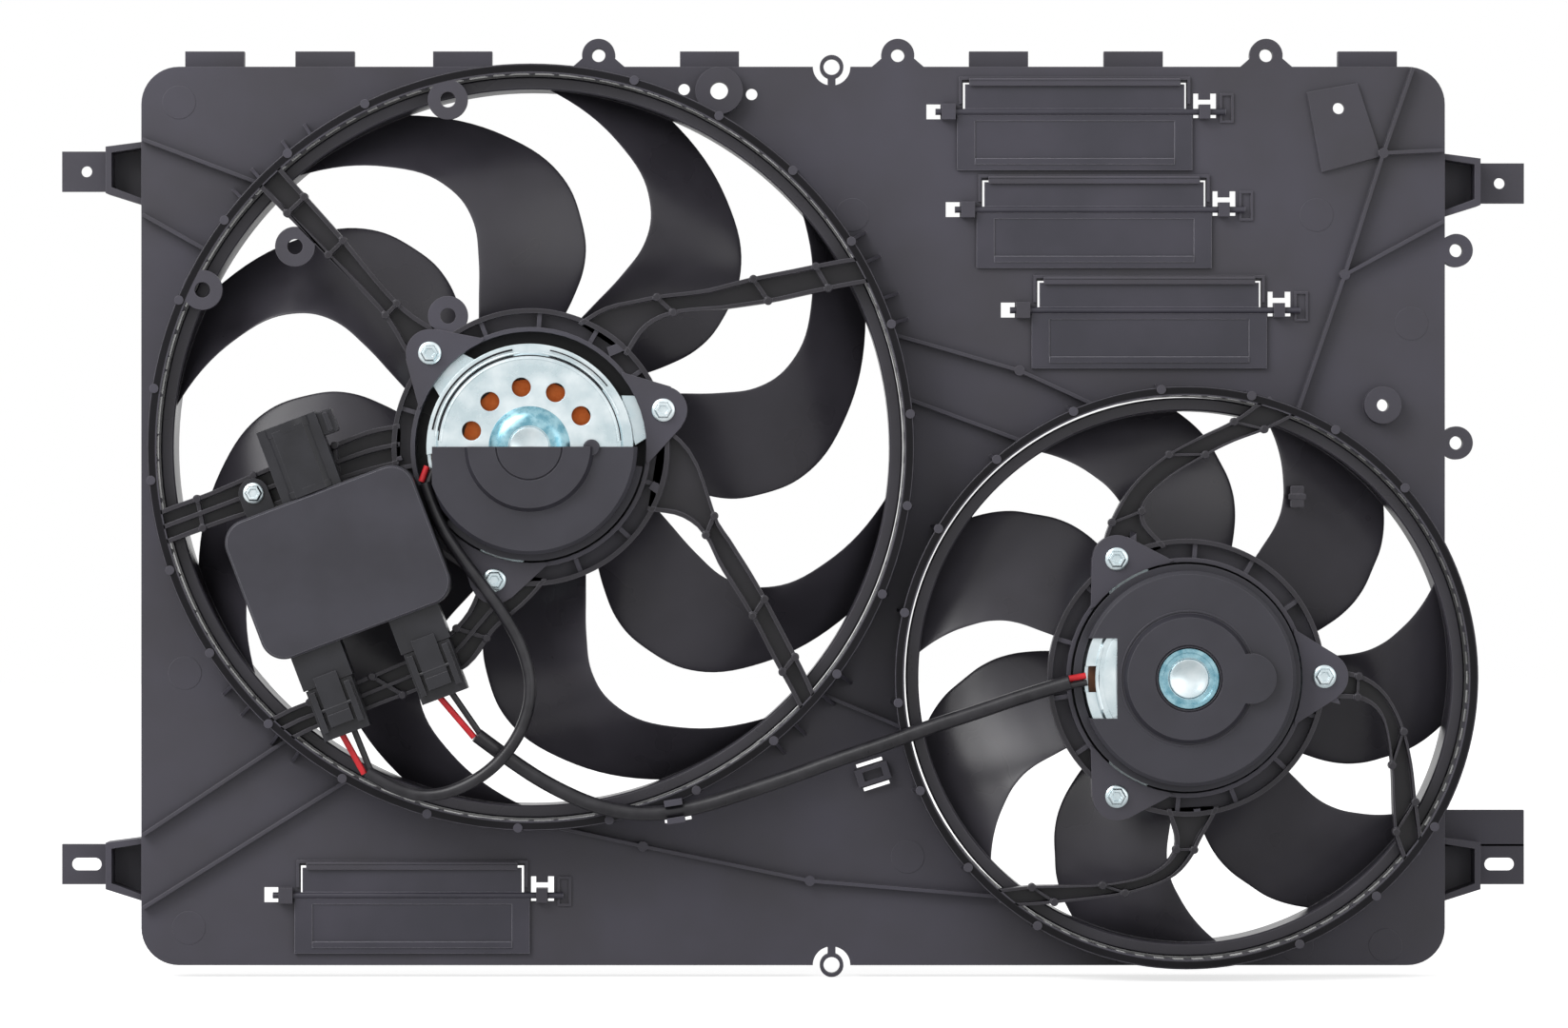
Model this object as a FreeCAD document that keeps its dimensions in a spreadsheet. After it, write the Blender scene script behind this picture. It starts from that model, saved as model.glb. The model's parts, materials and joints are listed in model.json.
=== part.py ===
import FreeCAD, Part
import math
import os
import Sketcher

# Radiator fan shroud with two electric fans, in millimetres.
# Seen from the engine, +X points right and +Z up. +Y points to the radiator and -Y to the engine.
# The origin lies midway between the two upper mounting holes, on the radiator side of their brackets.
# A "depth" is always the distance in front of that mounting plane, along -Y.

Vector = FreeCAD.Vector
doc = FreeCAD.newDocument("radiator_fan_shroud")
sizes = doc.addObject("Spreadsheet::Sheet", "sizes")

DIMENSIONS = {
    # tray that seals against the radiator
    "panel_width": 660.0,
    "panel_height": "=panel_above_mounts + 400",
    "panel_above_mounts": "=flap_one_hinge + 23",
    "corner_radius": 19.0,
    "tray_depth": 26.0,
    "panel_wall": 2.5,
    # barrels round the fans
    "large_fan_x": -131.5,
    "large_fan_z": -138.0,
    "large_barrel_radius": 187.5,
    "small_fan_x": 197.0,
    "small_fan_z": -253.5,
    "small_barrel_radius": 141.5,
    "barrel_wall": 2.5,
    "barrel_rear": 10.0,
    "barrel_front": 64.0,
    "barrel_lip": 2.0,
    "lip_thickness": 3.0,
    # motor carriers and their arms
    "arm_rear": 53.0,
    "arm_web": 2.5,
    "rail_wall": 2.2,
    "carrier_radius": 69.5,
    "carrier_bore": 58.0,
    "ear_radius": 12.0,
    "screw_circle_radius": 69.0,
    "screw_hole_radius": 2.8,
    # mounting brackets, lugs and tabs
    "mount_half_span": 360.0,
    "upper_mount_offset": 3.0,
    "lower_mount_drop": 350.0,
    "bracket_wall": 3.0,
    "bracket_length": 25.0,
    "bracket_height": 20.5,
    "bracket_overhang": 12.5,
    "upper_hole_radius": 2.8,
    "slot_length": 15.2,
    "slot_width": 6.5,
    "lug_radius": 8.4,
    "lug_stand": 5.8,
    "lug_thickness": 8.0,
    "lug_hole_radius": 3.4,
    "tab_width": 30.0,
    "tab_height": 8.7,
    "tab_depth": 8.0,
    "locator_radius": 6.0,
    "locator_bore": 4.1,
    "locator_notch": 9.5,
    "pad_radius": 10.0,
    "pad_thickness": 4.0,
    "pad_hole_radius": 3.9,
    "panel_rib_width": 1.8,
    "panel_rib_height": 6.0,
    "gusset_reach": 4.5,
    "spike_reach": 11.0,
    # fans
    "tip_gap": 2.6,
    "band_wall": 3.0,
    "band_rear": 18.0,
    "band_front": 50.0,
    "hub_radius": 64.0,
    "hub_wall": 2.5,
    "hub_rear": 16.0,
    "hub_front": 46.0,
    "blade_thickness": 2.6,
    # motors
    "can_radius": 51.5,
    "can_wall": 1.8,
    "can_rear": 35.0,
    "can_front": 76.0,
    "mount_ear_wall": 2.5,
    "bush_radius": 8.0,
    "bush_length": 8.0,
    "shaft_radius": 4.0,
    "running_clearance": 0.05,
    "shaft_rear": 7.0,
    "shaft_front": 82.0,
    "plate_wall": 1.8,
    "vent_radius": 4.8,
    "vent_circle_radius": 30.0,
    "boss_radius": 20.0,
    "boss_face": 84.5,
    "cover_wall": 1.8,
    "cover_gap": 0.4,
    "core_radius": 36.0,
    "magnet_thickness": 11.0,
    "screw_radius": 2.5,
    "screw_head_radius": 5.8,
    "screw_head_height": 3.6,
    # control module
    "module_x": -226.5,
    "module_z": -195.5,
    "module_turn": 20.7,
    "module_width": 99.5,
    "module_height": 73.0,
    "module_rear": 64.3,
    "module_depth": 24.0,
    "module_wall": 2.2,
    "module_cover_wall": 2.5,
    "module_corner": 12.0,
    "socket_offset": 26.0,
    "socket_width": 26.0,
    "socket_length": 18.0,
    "socket_depth": 20.0,
    "plug_length": 34.0,
    "plug_fit": 0.25,
    # relief flaps
    "flap_width": 119.0,
    "flap_above": 14.0,
    "flap_below": 29.5,
    "flap_wall": 2.0,
    "flap_rest_gap": 0.3,
    "flap_inset": 4.0,
    "flap_overlap": 5.0,
    "pin_radius": 1.6,
    "pin_clearance": 0.06,
    # motor leads
    "large_lead_radius": 3.1,
    "small_lead_radius": 3.8,
    "wire_radius": 1.6,
}
FANS = ("large", "small")
BLADES = {"large": 8, "small": 7}
FLAPS = {  # left edge and hinge height of each relief flap: three are stacked over the small barrel
    "relief_flap_1": ("flap_one_left", 83.0, "flap_one_hinge", "=flap_two_hinge + 49.5"),
    "relief_flap_2": ("flap_two_left", 92.8, "flap_two_hinge", "=flap_three_hinge + 50.9"),
    "relief_flap_3": ("flap_three_left", 120.7, "flap_three_hinge", "=small_fan_z + small_barrel_radius + 43.6"),
    "relief_flap_4": ("flap_four_left", -252.3, "flap_four_hinge", -364.5),
}
for left_name, left, hinge_name, hinge in FLAPS.values():
    DIMENSIONS[left_name] = left
    DIMENSIONS[hinge_name] = hinge

for row, name in enumerate(DIMENSIONS, 1):
    sizes.set("A%d" % row, name)
    sizes.setAlias("B%d" % row, name)
for row, value in enumerate(DIMENSIONS.values(), 1):
    sizes.set("B%d" % row, str(value))
doc.recompute()


def mm(name):
    return float(sizes.get(name))


# ---- PartDesign helpers -------------------------------------------------------------------

def new_body(name, x=None, z=None):
    body = doc.addObject("PartDesign::Body", name)
    body.Label = name
    if x:
        body.setExpression("Placement.Base.x", x)
        body.setExpression("Placement.Base.z", z)
    return body


def new_sketch(body, role, depth=None):
    sketch = body.newObject("Sketcher::SketchObject", body.Name + "_sketch")
    plane = next(item for item in body.Origin.OriginFeatures if item.Role == role)
    sketch.AttachmentSupport = [(plane, "")]
    sketch.MapMode = "FlatFace"
    if depth:
        sketch.setExpression("AttachmentOffset.Base.z", depth)
    return sketch


def front_sketch(body, depth=None):
    """A sketch square to the fan axes: its X is X, its Y is Z, and it looks along -Y."""
    return new_sketch(body, "XZ_Plane", depth)


def pin_point(sketch, edge, position, x, y):
    for kind, text in (("DistanceX", x), ("DistanceY", y)):
        value = float(sketch.evalExpression(text))
        index = sketch.addConstraint(Sketcher.Constraint(kind, -1, 1, edge, position, value))
        sketch.setExpression("Constraints[%d]" % index, text)


def at(sketch, x, y):
    return Vector(float(sketch.evalExpression(x)), float(sketch.evalExpression(y)), 0)


def add_polygon(sketch, corners):
    points = [at(sketch, x, y) for x, y in corners]
    first = sketch.GeometryCount
    count = len(points)
    for i in range(count):
        sketch.addGeometry(Part.LineSegment(points[i], points[(i + 1) % count]))
    for i in range(count):
        sketch.addConstraint(Sketcher.Constraint("Coincident", first + i, 2, first + (i + 1) % count, 1))
    for i, (x, y) in enumerate(corners):
        pin_point(sketch, first + i, 1, x, y)


def add_circle(sketch, x, y, radius):
    value = float(sketch.evalExpression(radius))
    edge = sketch.addGeometry(Part.Circle(at(sketch, x, y), Vector(0, 0, 1), value))
    pin_point(sketch, edge, 3, x, y)
    index = sketch.addConstraint(Sketcher.Constraint("Radius", edge, value))
    sketch.setExpression("Constraints[%d]" % index, radius)


def add_rounded_box(sketch, left, bottom, right, top, radius):
    low, high = at(sketch, left, bottom), at(sketch, right, top)
    r = float(sketch.evalExpression(radius))
    first = sketch.GeometryCount
    ends = [(low.x + r, low.y, high.x - r, low.y), (high.x, low.y + r, high.x, high.y - r),
            (high.x - r, high.y, low.x + r, high.y), (low.x, high.y - r, low.x, low.y + r)]
    centres = [(high.x - r, low.y + r), (high.x - r, high.y - r),
               (low.x + r, high.y - r), (low.x + r, low.y + r)]
    for side in range(4):
        x0, y0, x1, y1 = ends[side]
        sketch.addGeometry(Part.LineSegment(Vector(x0, y0, 0), Vector(x1, y1, 0)))
        circle = Part.Circle(Vector(*centres[side], 0), Vector(0, 0, 1), r)
        start = math.radians(90 * side - 90)
        sketch.addGeometry(Part.ArcOfCircle(circle, start, start + math.pi / 2))
    for i in range(8):
        sketch.addConstraint(Sketcher.Constraint("Tangent", first + i, 2, first + (i + 1) % 8, 1))
    for i in (0, 4):
        sketch.addConstraint(Sketcher.Constraint("Horizontal", first + i))
        sketch.addConstraint(Sketcher.Constraint("Vertical", first + i + 2))
    for i in (3, 5, 7):
        sketch.addConstraint(Sketcher.Constraint("Equal", first + 1, first + i))
    index = sketch.addConstraint(Sketcher.Constraint("Radius", first + 1, r))
    sketch.setExpression("Constraints[%d]" % index, radius)
    for kind, edge, text in (("DistanceX", 6, left), ("DistanceX", 2, right),
                             ("DistanceY", 0, bottom), ("DistanceY", 4, top)):
        value = float(sketch.evalExpression(text))
        index = sketch.addConstraint(Sketcher.Constraint(kind, -1, 1, first + edge, 1, value))
        sketch.setExpression("Constraints[%d]" % index, text)


def pad(body, sketch, length):
    feature = body.newObject("PartDesign::Pad", body.Name + "_pad")
    feature.Profile = sketch
    feature.setExpression("Length", length)
    body.Tip = feature
    return feature


def pocket(body, sketch, length=None):
    """Cuts from the sketch towards the radiator; without a length, through everything."""
    feature = body.newObject("PartDesign::Pocket", body.Name + "_pocket")
    feature.Profile = sketch
    if length:
        feature.setExpression("Length", length)
    else:
        feature.Type = 1
    body.Tip = feature
    return feature


def revolve(body, corners):
    """Turns an outline of (depth, radius) corners about the body's own fan axis."""
    sketch = new_sketch(body, "YZ_Plane")
    add_polygon(sketch, [("-(%s)" % depth, radius) for depth, radius in corners])
    feature = body.newObject("PartDesign::Revolution", body.Name + "_turn")
    feature.Profile = sketch
    feature.ReferenceAxis = (sketch, ["H_Axis"])
    feature.Angle = 360
    body.Tip = feature
    return feature


def fan_body(fan, name):
    return new_body("%s_%s" % (fan, name), "sizes.%s_fan_x" % fan, "sizes.%s_fan_z" % fan)


# ---- Part helpers -------------------------------------------------------------------------

def feature_from(name, shape):
    feature = doc.addObject("Part::Feature", name)
    feature.Label = name
    feature.Shape = shape
    feature.Placement = FreeCAD.Placement()
    return feature


def block(x0, x1, depth0, depth1, z0, z1):
    return Part.makeBox(x1 - x0, depth1 - depth0, z1 - z0, Vector(x0, -depth1, z0))


def disc(x, z, radius, depth0, depth1):
    return Part.makeCylinder(radius, depth1 - depth0, Vector(x, -depth0, z), Vector(0, -1, 0))


def prism(points, depth0, depth1):
    """Extrudes a closed outline of (x, z) points between two depths."""
    corners = [Vector(x, -depth0, z) for x, z in points]
    face = Part.Face(Part.makePolygon(corners + corners[:1]))
    return face.extrude(Vector(0, depth0 - depth1, 0))


def around(fan, radius, angle):
    turn = math.radians(angle)
    return (mm(fan + "_fan_x") + radius * math.cos(turn), mm(fan + "_fan_z") + radius * math.sin(turn))


def wall_between(a, b, width, depth0, depth1):
    """A straight wall from point a to point b, both (x, z)."""
    length = math.hypot(b[0] - a[0], b[1] - a[1])
    side_x = -(b[1] - a[1]) / length * width / 2
    side_z = (b[0] - a[0]) / length * width / 2
    corners = [(a[0] + side_x, a[1] + side_z), (b[0] + side_x, b[1] + side_z),
               (b[0] - side_x, b[1] - side_z), (a[0] - side_x, a[1] - side_z)]
    return prism(corners, depth0, depth1)


# ---- shroud: tray, barrels and outer fixings ----------------------------------------------

TOP = "sizes.panel_above_mounts"
BOTTOM = "(sizes.panel_above_mounts - sizes.panel_height)"
LEFT = "(-sizes.panel_width / 2)"
RIGHT = "(sizes.panel_width / 2)"
WALL = "sizes.panel_wall"


def make_tray():
    body = new_body("tray_blank")
    outline = front_sketch(body)
    add_rounded_box(outline, LEFT, BOTTOM, RIGHT, TOP, "sizes.corner_radius")
    pad(body, outline, "sizes.tray_depth")
    bulge = front_sketch(body)  # the small barrel stands out past the tray's right wall
    add_circle(bulge, "sizes.small_fan_x", "sizes.small_fan_z", "sizes.small_barrel_radius + sizes.barrel_wall")
    pad(body, bulge, "sizes.tray_depth")
    hollow = front_sketch(body, "sizes.tray_depth - sizes.panel_wall")
    add_rounded_box(hollow, LEFT + " + " + WALL, BOTTOM + " + " + WALL, RIGHT + " - " + WALL,
                    TOP + " - " + WALL, "sizes.corner_radius - sizes.panel_wall")
    pocket(body, hollow, "sizes.tray_depth - sizes.panel_wall")
    for fan in FANS:
        centre = ("sizes.%s_fan_x" % fan, "sizes.%s_fan_z" % fan)
        outer = "sizes.%s_barrel_radius + sizes.barrel_wall" % fan
        barrel = front_sketch(body, "sizes.barrel_rear")
        add_circle(barrel, *centre, outer)
        pad(body, barrel, "sizes.barrel_front - sizes.barrel_rear")
        lip = front_sketch(body, "sizes.barrel_front - sizes.lip_thickness")
        add_circle(lip, *centre, outer + " + sizes.barrel_lip")
        pad(body, lip, "sizes.lip_thickness")
    for fan in FANS:
        hole = front_sketch(body, "sizes.barrel_front")
        add_circle(hole, "sizes.%s_fan_x" % fan, "sizes.%s_fan_z" % fan, "sizes.%s_barrel_radius" % fan)
        pocket(body, hole)
    return body


TOP_LUGS = (-98.5, 53.0, 239.5)
SIDE_LUGS = (-38.0, -135.5)
TOP_TABS = (-294.0, -238.0, -168.0, -42.5, 104.5, 173.0, 292.0)
LOCATOR_X = 19.5


def edge_fixings():
    """Lugs, tabs, locating rings and the four brackets round the tray's edge."""
    top, right = mm("panel_above_mounts"), mm("panel_width") / 2
    bottom = top - mm("panel_height")
    front = mm("tray_depth")
    added, holes = [], []
    lug, stand, rear = mm("lug_radius"), mm("lug_stand"), front - mm("lug_thickness")
    for x in TOP_LUGS:
        added.append(disc(x, top + stand, lug, rear, front))
        added.append(prism([(x - 1.7 * lug, top - 1), (x + 1.7 * lug, top - 1), (x + 0.9 * lug, top + stand - 1),
                            (x - 0.9 * lug, top + stand - 1)], rear, front))
        holes.append(disc(x, top + stand, mm("lug_hole_radius"), rear - 1, front + 1))
    for z in SIDE_LUGS:
        added.append(disc(right + stand, z, lug, rear, front))
        holes.append(disc(right + stand, z, mm("lug_hole_radius"), rear - 1, front + 1))
    half = mm("tab_width") / 2
    for x in TOP_TABS:
        added.append(block(x - half, x + half, 4, 4 + mm("tab_depth"), top - 1, top + mm("tab_height")))
    ring, bore, notch = mm("locator_radius"), mm("locator_bore"), mm("locator_notch")
    for z, inward in ((top, -1), (bottom, 1)):
        holes.append(disc(LOCATOR_X, z, notch, -1, front + 1))
        stem = sorted((z + inward * (bore + 1), z + inward * (notch + 1)))
        post = disc(LOCATOR_X, z, ring, rear, front).fuse(block(LOCATOR_X - 2, LOCATOR_X + 2, rear, front, *stem))
        LOCATORS.append(post.cut(disc(LOCATOR_X, z, bore, rear - 1, front + 1)))
    span, length, high = mm("mount_half_span"), mm("bracket_length"), mm("bracket_height") / 2
    wall = mm("bracket_wall")
    for side in (-1, 1):
        for z, slotted in ((-side * mm("upper_mount_offset"), False), (-mm("lower_mount_drop"), True)):
            outer = span + mm("bracket_overhang")
            xs = sorted((side * outer, side * (outer - length)))
            added.append(block(*xs, 0, wall, z - high, z + high))
            root, tip = side * (right - 1), side * (outer - length + 1)
            flare = [(root, z - 1.75 * high), (root, z + 1.4 * high), (tip, z + 1.15 * high), (tip, z - 1.15 * high)]
            inner = [(root, z - 1.75 * high + 3), (root, z + 1.4 * high - 3), (tip - side * 3, z + 1.15 * high - 3),
                     (tip - side * 3, z - 1.15 * high + 3)]
            added.append(prism(flare, 0, front - 4).cut(prism(inner, wall, front)))
            if slotted:
                r, run = mm("slot_width") / 2, (mm("slot_length") - mm("slot_width")) / 2
                slot = block(side * span - run, side * span + run, -1, wall + 1, z - r, z + r)
                holes.append(slot.fuse([disc(side * span - run, z, r, -1, wall + 1),
                                        disc(side * span + run, z, r, -1, wall + 1)]))
            else:
                holes.append(disc(side * span, z, mm("upper_hole_radius"), -1, wall + 1))
    return added, holes


LOCATORS = []


def panel_bosses():
    """Bosses and the square pad on the panel's face, for parts bolted to the shroud."""
    front = mm("tray_depth")
    added = [disc(-37.4, 42.5, 12, front - 1, front + 8), disc(298, -116.5, 9.4, front - 1, front + 8)]
    square = [(260, 42), (285.5, 46.5), (297.5, 9.5), (267.5, 1.5)]
    added.append(prism(square, front - 1, front + 2.5))
    holes = [disc(-37.4, 42.5, 4.5, 0, front + 9), disc(298, -116.5, 3.1, 0, front + 9)]
    holes += [disc(x, z, 2.9, 0, front + 9) for x, z in ((-55.2, 43.5), (-21, 41), (276, 33.8))]
    return added, holes


# ---- shroud: carriers and arms ------------------------------------------------------------

SCREW_ANGLES = {"large": (15.6, 137.0, 254.8), "small": (0.5, 120.5, 239.5)}

# Each arm runs from its barrel (share 1) to its carrier (share 0) through (share, angle) stations,
# with its width at the barrel and at the carrier and its number of rails.
ARMS = {
    "large": [
        (((1, 28.0), (0.6, 34.2), (0.26, 42.9), (0, 57.0)), 10, 22, 2),
        (((1, 134.3), (0.5, 134.3), (0, 134.8)), 12, 12, 2),
        (((1, 192.5), (0.65, 189.8), (0, 178.9)), 16, 16, 3),
        (((1, 227.5), (0.68, 235.8), (0.48, 244.2), (0.24, 252.4), (0, 256.5)), 14, 18, 3),
        (((1, -41.5), (0.61, -35.0), (0.3, -25.0), (0, -11.0)), 10, 20, 2),
    ],
    "small": [
        (((1, 72.0), (0.8, 81.0), (0.55, 95.8), (0.31, 109.0), (0, 118.0)), 11, 16, 2),
        (((1, -38.4), (0.71, -25.3), (0.43, -11.7), (0, -3.0)), 10, 16, 2),
        (((1, 229.0), (0.76, 240.5), (0.53, 255.1), (0.32, 265.3), (0, 269.5)), 10, 15, 2),
    ],
}


def arm_shapes(fan, stations, ring_width, hub_width, rails):
    """One channel-section arm: a thin web behind, rails along it and ribs across it."""
    barrel, carrier = mm(fan + "_barrel_radius") + 1.2, mm("carrier_radius") - 3
    points = []
    for share, angle in stations:
        x, z = around(fan, carrier + share * (barrel - carrier), angle)
        points.append(Vector(x, 0, z))
    centre = Part.BSplineCurve()
    centre.interpolate(points)
    last = centre.LastParameter

    def offset(share, across):
        place = centre.value(share * last)
        along = centre.tangent(share * last)[0]
        half = (ring_width + (hub_width - ring_width) * share ** 2) / 2
        return place + Vector(-along.z, 0, along.x) * half * across

    def strip(low, high, depth0, depth1):
        edges = []
        for across in (low, high):
            curve = Part.BSplineCurve()
            curve.interpolate([offset(i / 8.0, across) - Vector(0, depth0, 0) for i in range(9)])
            edges.append(curve)
        a, b = edges
        start = Part.LineSegment(a.value(a.FirstParameter), b.value(b.FirstParameter)).toShape()
        end = Part.LineSegment(a.value(a.LastParameter), b.value(b.LastParameter)).toShape()
        wire = Part.Wire(Part.__sortEdges__([a.toShape(), end, b.toShape(), start]))
        return Part.Face(wire).extrude(Vector(0, depth0 - depth1, 0))

    rear, front = mm("arm_rear"), mm("barrel_front")
    share_of_width = 2 * mm("rail_wall") / ring_width
    shapes = [strip(-1, 1, rear, rear + mm("arm_web"))]
    for i in range(rails):
        middle = -1 + share_of_width / 2 + i * (2 - share_of_width) / (rails - 1)
        shapes.append(strip(middle - share_of_width / 2, middle + share_of_width / 2, rear, front))
    for i in range(1, 6):
        low, high = offset(i / 6.0, -0.95), offset(i / 6.0, 0.95)
        shapes.append(wall_between((low.x, low.z), (high.x, high.z), mm("rail_wall"), rear, front - 1.5))
    return shapes


def carrier_shapes(fan):
    """The ring round the motor: two walls joined by a web, ribs, and three screw ears."""
    x, z = mm(fan + "_fan_x"), mm(fan + "_fan_z")
    rear, front, wall = mm("arm_rear"), mm("barrel_front"), mm("rail_wall")
    outer, inner = mm("carrier_radius"), mm("carrier_bore")
    shapes = [disc(x, z, outer, rear, rear + mm("arm_web")).cut(disc(x, z, inner, rear - 1, front)),
              disc(x, z, outer, rear, front).cut(disc(x, z, outer - wall, rear - 1, front + 1)),
              disc(x, z, inner + wall, rear, front).cut(disc(x, z, inner, rear - 1, front + 1))]
    for i in range(14):
        angle = i * 360 / 14.0 + 9
        shapes.append(wall_between(around(fan, inner + 1, angle), around(fan, outer - 1, angle), wall, rear,
                                   front - 2))
    for angle in SCREW_ANGLES[fan]:
        seat = around(fan, mm("screw_circle_radius"), angle)
        shapes.append(disc(*seat, mm("ear_radius"), rear, front + 1))
        wings = [around(fan, inner + 1, angle - 24), around(fan, inner + 1, angle + 24),
                 around(fan, mm("screw_circle_radius") + 0.62 * mm("ear_radius"), angle + 7.8),
                 around(fan, mm("screw_circle_radius") + 0.62 * mm("ear_radius"), angle - 7.8)]
        shapes.append(prism(wings, rear, front + 1))
    return shapes


# ---- shroud: ribs, gussets and wiring pads ------------------------------------------------

def gusset(fan, angle, reach, height):
    """A triangular stay from the barrel's outside down to the panel."""
    base = mm(fan + "_barrel_radius") + mm("barrel_wall") - 0.8
    depth = mm("tray_depth") - 0.5
    corners = [Vector(base, -depth, -0.8), Vector(base + reach + 0.8, -depth, -0.8),
               Vector(base, -depth - height, -0.8)]
    shape = Part.Face(Part.makePolygon(corners + corners[:1])).extrude(Vector(0, 0, 1.6))
    shape.rotate(Vector(0, 0, 0), Vector(0, -1, 0), angle)
    shape.translate(Vector(mm(fan + "_fan_x"), 0, mm(fan + "_fan_z")))
    return shape


def on_panel(point, margin):
    top = mm("panel_above_mounts")
    return (abs(point[0]) < mm("panel_width") / 2 - margin
            and top - mm("panel_height") + margin < point[1] < top - margin)


def stiffeners():
    shapes = []
    front = mm("tray_depth")
    for fan, count in (("large", 26), ("small", 20)):
        reach = mm("gusset_reach")
        for i in range(count):
            angle = i * 360.0 / count + 5
            if on_panel(around(fan, mm(fan + "_barrel_radius") + mm("barrel_wall") + reach, angle), 0.5):
                shapes.append(gusset(fan, angle, reach, 26))
    for angle in (28.0, 134.3, 227.5, -41.5):
        for step in (-9, -5, 1, 5):
            shapes.append(gusset("large", angle + step, mm("spike_reach"), 34))
    left, top = -mm("panel_width") / 2, mm("panel_above_mounts")

    def ring(fan, angle):
        return around(fan, mm(fan + "_barrel_radius") + mm("barrel_wall") / 2, angle)

    lines = [
        [(left + 1, 18.0), ring("large", 135.5)],
        [(left + 1, -20.0), ring("large", 148.8)],
        [(left + 1, -334.0), ring("large", 230.3)],
        [(left + 1, -371.0), ring("large", 241.5)],
        [(313.5, top - 1), (298.5, 11.0), (279.0, -50.5), ring("small", 66.4)],
        [(298.5, 11.0), (-left - 1, 12.5)],
        [(279.0, -50.5), (-left - 1, -23.5)],
        [ring("large", 17.9), (114.5, -99.0), ring("small", 107.4)],
        [ring("large", 7.8), ring("small", 124.0)],
        [ring("large", 269.0), (-76.0, -339.5), (8.5, -357.0), ring("small", 231.6)],
        [ring("large", -40.8), ring("small", 190.7)],
    ]
    for line in lines:
        for a, b in zip(line, line[1:]):
            shapes.append(wall_between(a, b, mm("panel_rib_width"), front - 1, front + mm("panel_rib_height")))
        for point in line[1:-1]:
            shapes.append(disc(*point, 2.6, front - 1, front + mm("panel_rib_height")))
    return shapes


WIRING_PADS = ((179.0, 103.4), (155.0, 139.6), (182.3, 154.4), (77.7, 122.2))


def wiring_pads():
    front, radius = mm("barrel_front"), mm("pad_radius")
    seats = [around("large", reach, angle) for reach, angle in WIRING_PADS]
    pads = [disc(*seat, radius, front - mm("pad_thickness"), front) for seat in seats]
    holes = [disc(*seat, mm("pad_hole_radius"), front - mm("pad_thickness") - 1, front + 1) for seat in seats]
    return pads, holes


# ---- shroud: seats of the relief flaps ----------------------------------------------------

PIN_LEFT, PIN_RIGHT = 11.0, 17.0
FLAP_EAR = 7.0


def flap_place(name):
    left_name, _, hinge_name, _ = FLAPS[name]
    return mm(left_name), mm(hinge_name)


def flap_pin_depth():
    return mm("tray_depth") + mm("flap_rest_gap") + mm("flap_wall") / 2 + 0.8


def flap_seat(name):
    """The ears and frames that a flap needs, and the windows it needs cut out."""
    left, hinge = flap_place(name)
    right = left + mm("flap_width")
    front, inset = mm("tray_depth"), mm("flap_inset")
    above = mm("flap_above")
    ear_top = flap_pin_depth() + 3.6
    added = [block(left - FLAP_EAR - 0.8, left - 0.8, front - 1, ear_top, hinge - 4, hinge + 4),
             block(right + 3.4, right + 9.0, front - 1, ear_top, hinge - 3.6, hinge + 3.6)]
    for x0, x1, z0, z1 in ((left + inset - 3, right - inset + 3, above + 2.2, above + 3.8),
                           (left + inset - 3, left + inset - 1.6, 4, above + 3),
                           (right - inset + 1.6, right - inset + 3, 4, above + 3)):
        added.append(block(x0, x1, front - 1, front + 1.8, hinge + z0, hinge + z1))
    frame = block(right + 14, right + 21, front - 1, front + 1.2, hinge - 5.5, hinge + 9.5)
    added.append(frame.cut(block(right + 15.2, right + 19.8, front - 2, front + 2, hinge - 4.3, hinge + 8.3)))
    opening = block(left + inset - 1, right - inset + 1, 0, front + 1,
                    hinge - mm("flap_below") + mm("flap_overlap"), hinge + above + 1)
    windows = [opening,
               block(left - 15.5, left - 8.4, 0, front + 1, hinge - 3.6, hinge + 4),
               block(right + 0.6, right + 3.2, 0, front + 1, hinge - 3, hinge + 9.5),
               block(right + 9.2, right + 12.2, 0, front + 1, hinge - 3, hinge + 9.5),
               block(right + 3.0, right + 9.4, 0, front + 1, hinge + 3.8, hinge + 6.4)]
    hole = mm("pin_radius") + mm("pin_clearance")
    start = Vector(left - FLAP_EAR - 2, -flap_pin_depth(), hinge)
    windows.append(Part.makeCylinder(hole, mm("flap_width") + FLAP_EAR + PIN_RIGHT + 3, start, Vector(1, 0, 0)))
    return added, windows


# ---- shroud: lead clips -------------------------------------------------------------------

CLIPS = ((-59.2, -320.0, 9.3), (40.4, -303.1, 17.6))
CLIP_LENGTH = 9.0
LEAD_DEPTH = 71.5


def lead_clips():
    """A C on a post that holds the small motor's lead, a spare low seat, and the windows behind them."""
    front, bore, wall = mm("tray_depth"), mm("small_lead_radius") + 0.3, 1.8
    half, outer = CLIP_LENGTH / 2, bore + wall
    held = block(-half, half, front - 1, LEAD_DEPTH - bore, -2.4, 2.4)
    held = held.fuse(block(-half, half, LEAD_DEPTH - outer, LEAD_DEPTH + outer, -outer, outer))
    mouth = block(-CLIP_LENGTH, CLIP_LENGTH, LEAD_DEPTH, LEAD_DEPTH + 9, -2.9, 2.9)
    hole = Part.makeCylinder(bore, 3 * CLIP_LENGTH, Vector(-1.5 * CLIP_LENGTH, -LEAD_DEPTH, 0), Vector(1, 0, 0))
    held = held.cut(mouth.fuse(hole))
    seat = block(-8.5, 8.5, front - 1, front + 6, -4.4, 4.4).cut(block(-5, 5, front + 2.5, front + 7, -2.4, 2.4))
    shapes, windows = [held, seat], []
    for shape, (x, z, turn) in zip(shapes, CLIPS):
        window = Part.makeCompound([block(-6.8, 6.8, 0, front + 1, z0, z0 + 1.8) for z0 in (-7.2, 5.2)])
        for item in (shape, window):
            item.rotate(Vector(0, 0, 0), Vector(0, -1, 0), turn)
            item.translate(Vector(x, 0, z))
        windows.append(window)
    return shapes, windows


EAR_X, EAR_STAND = -28.5, 11.0


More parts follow.
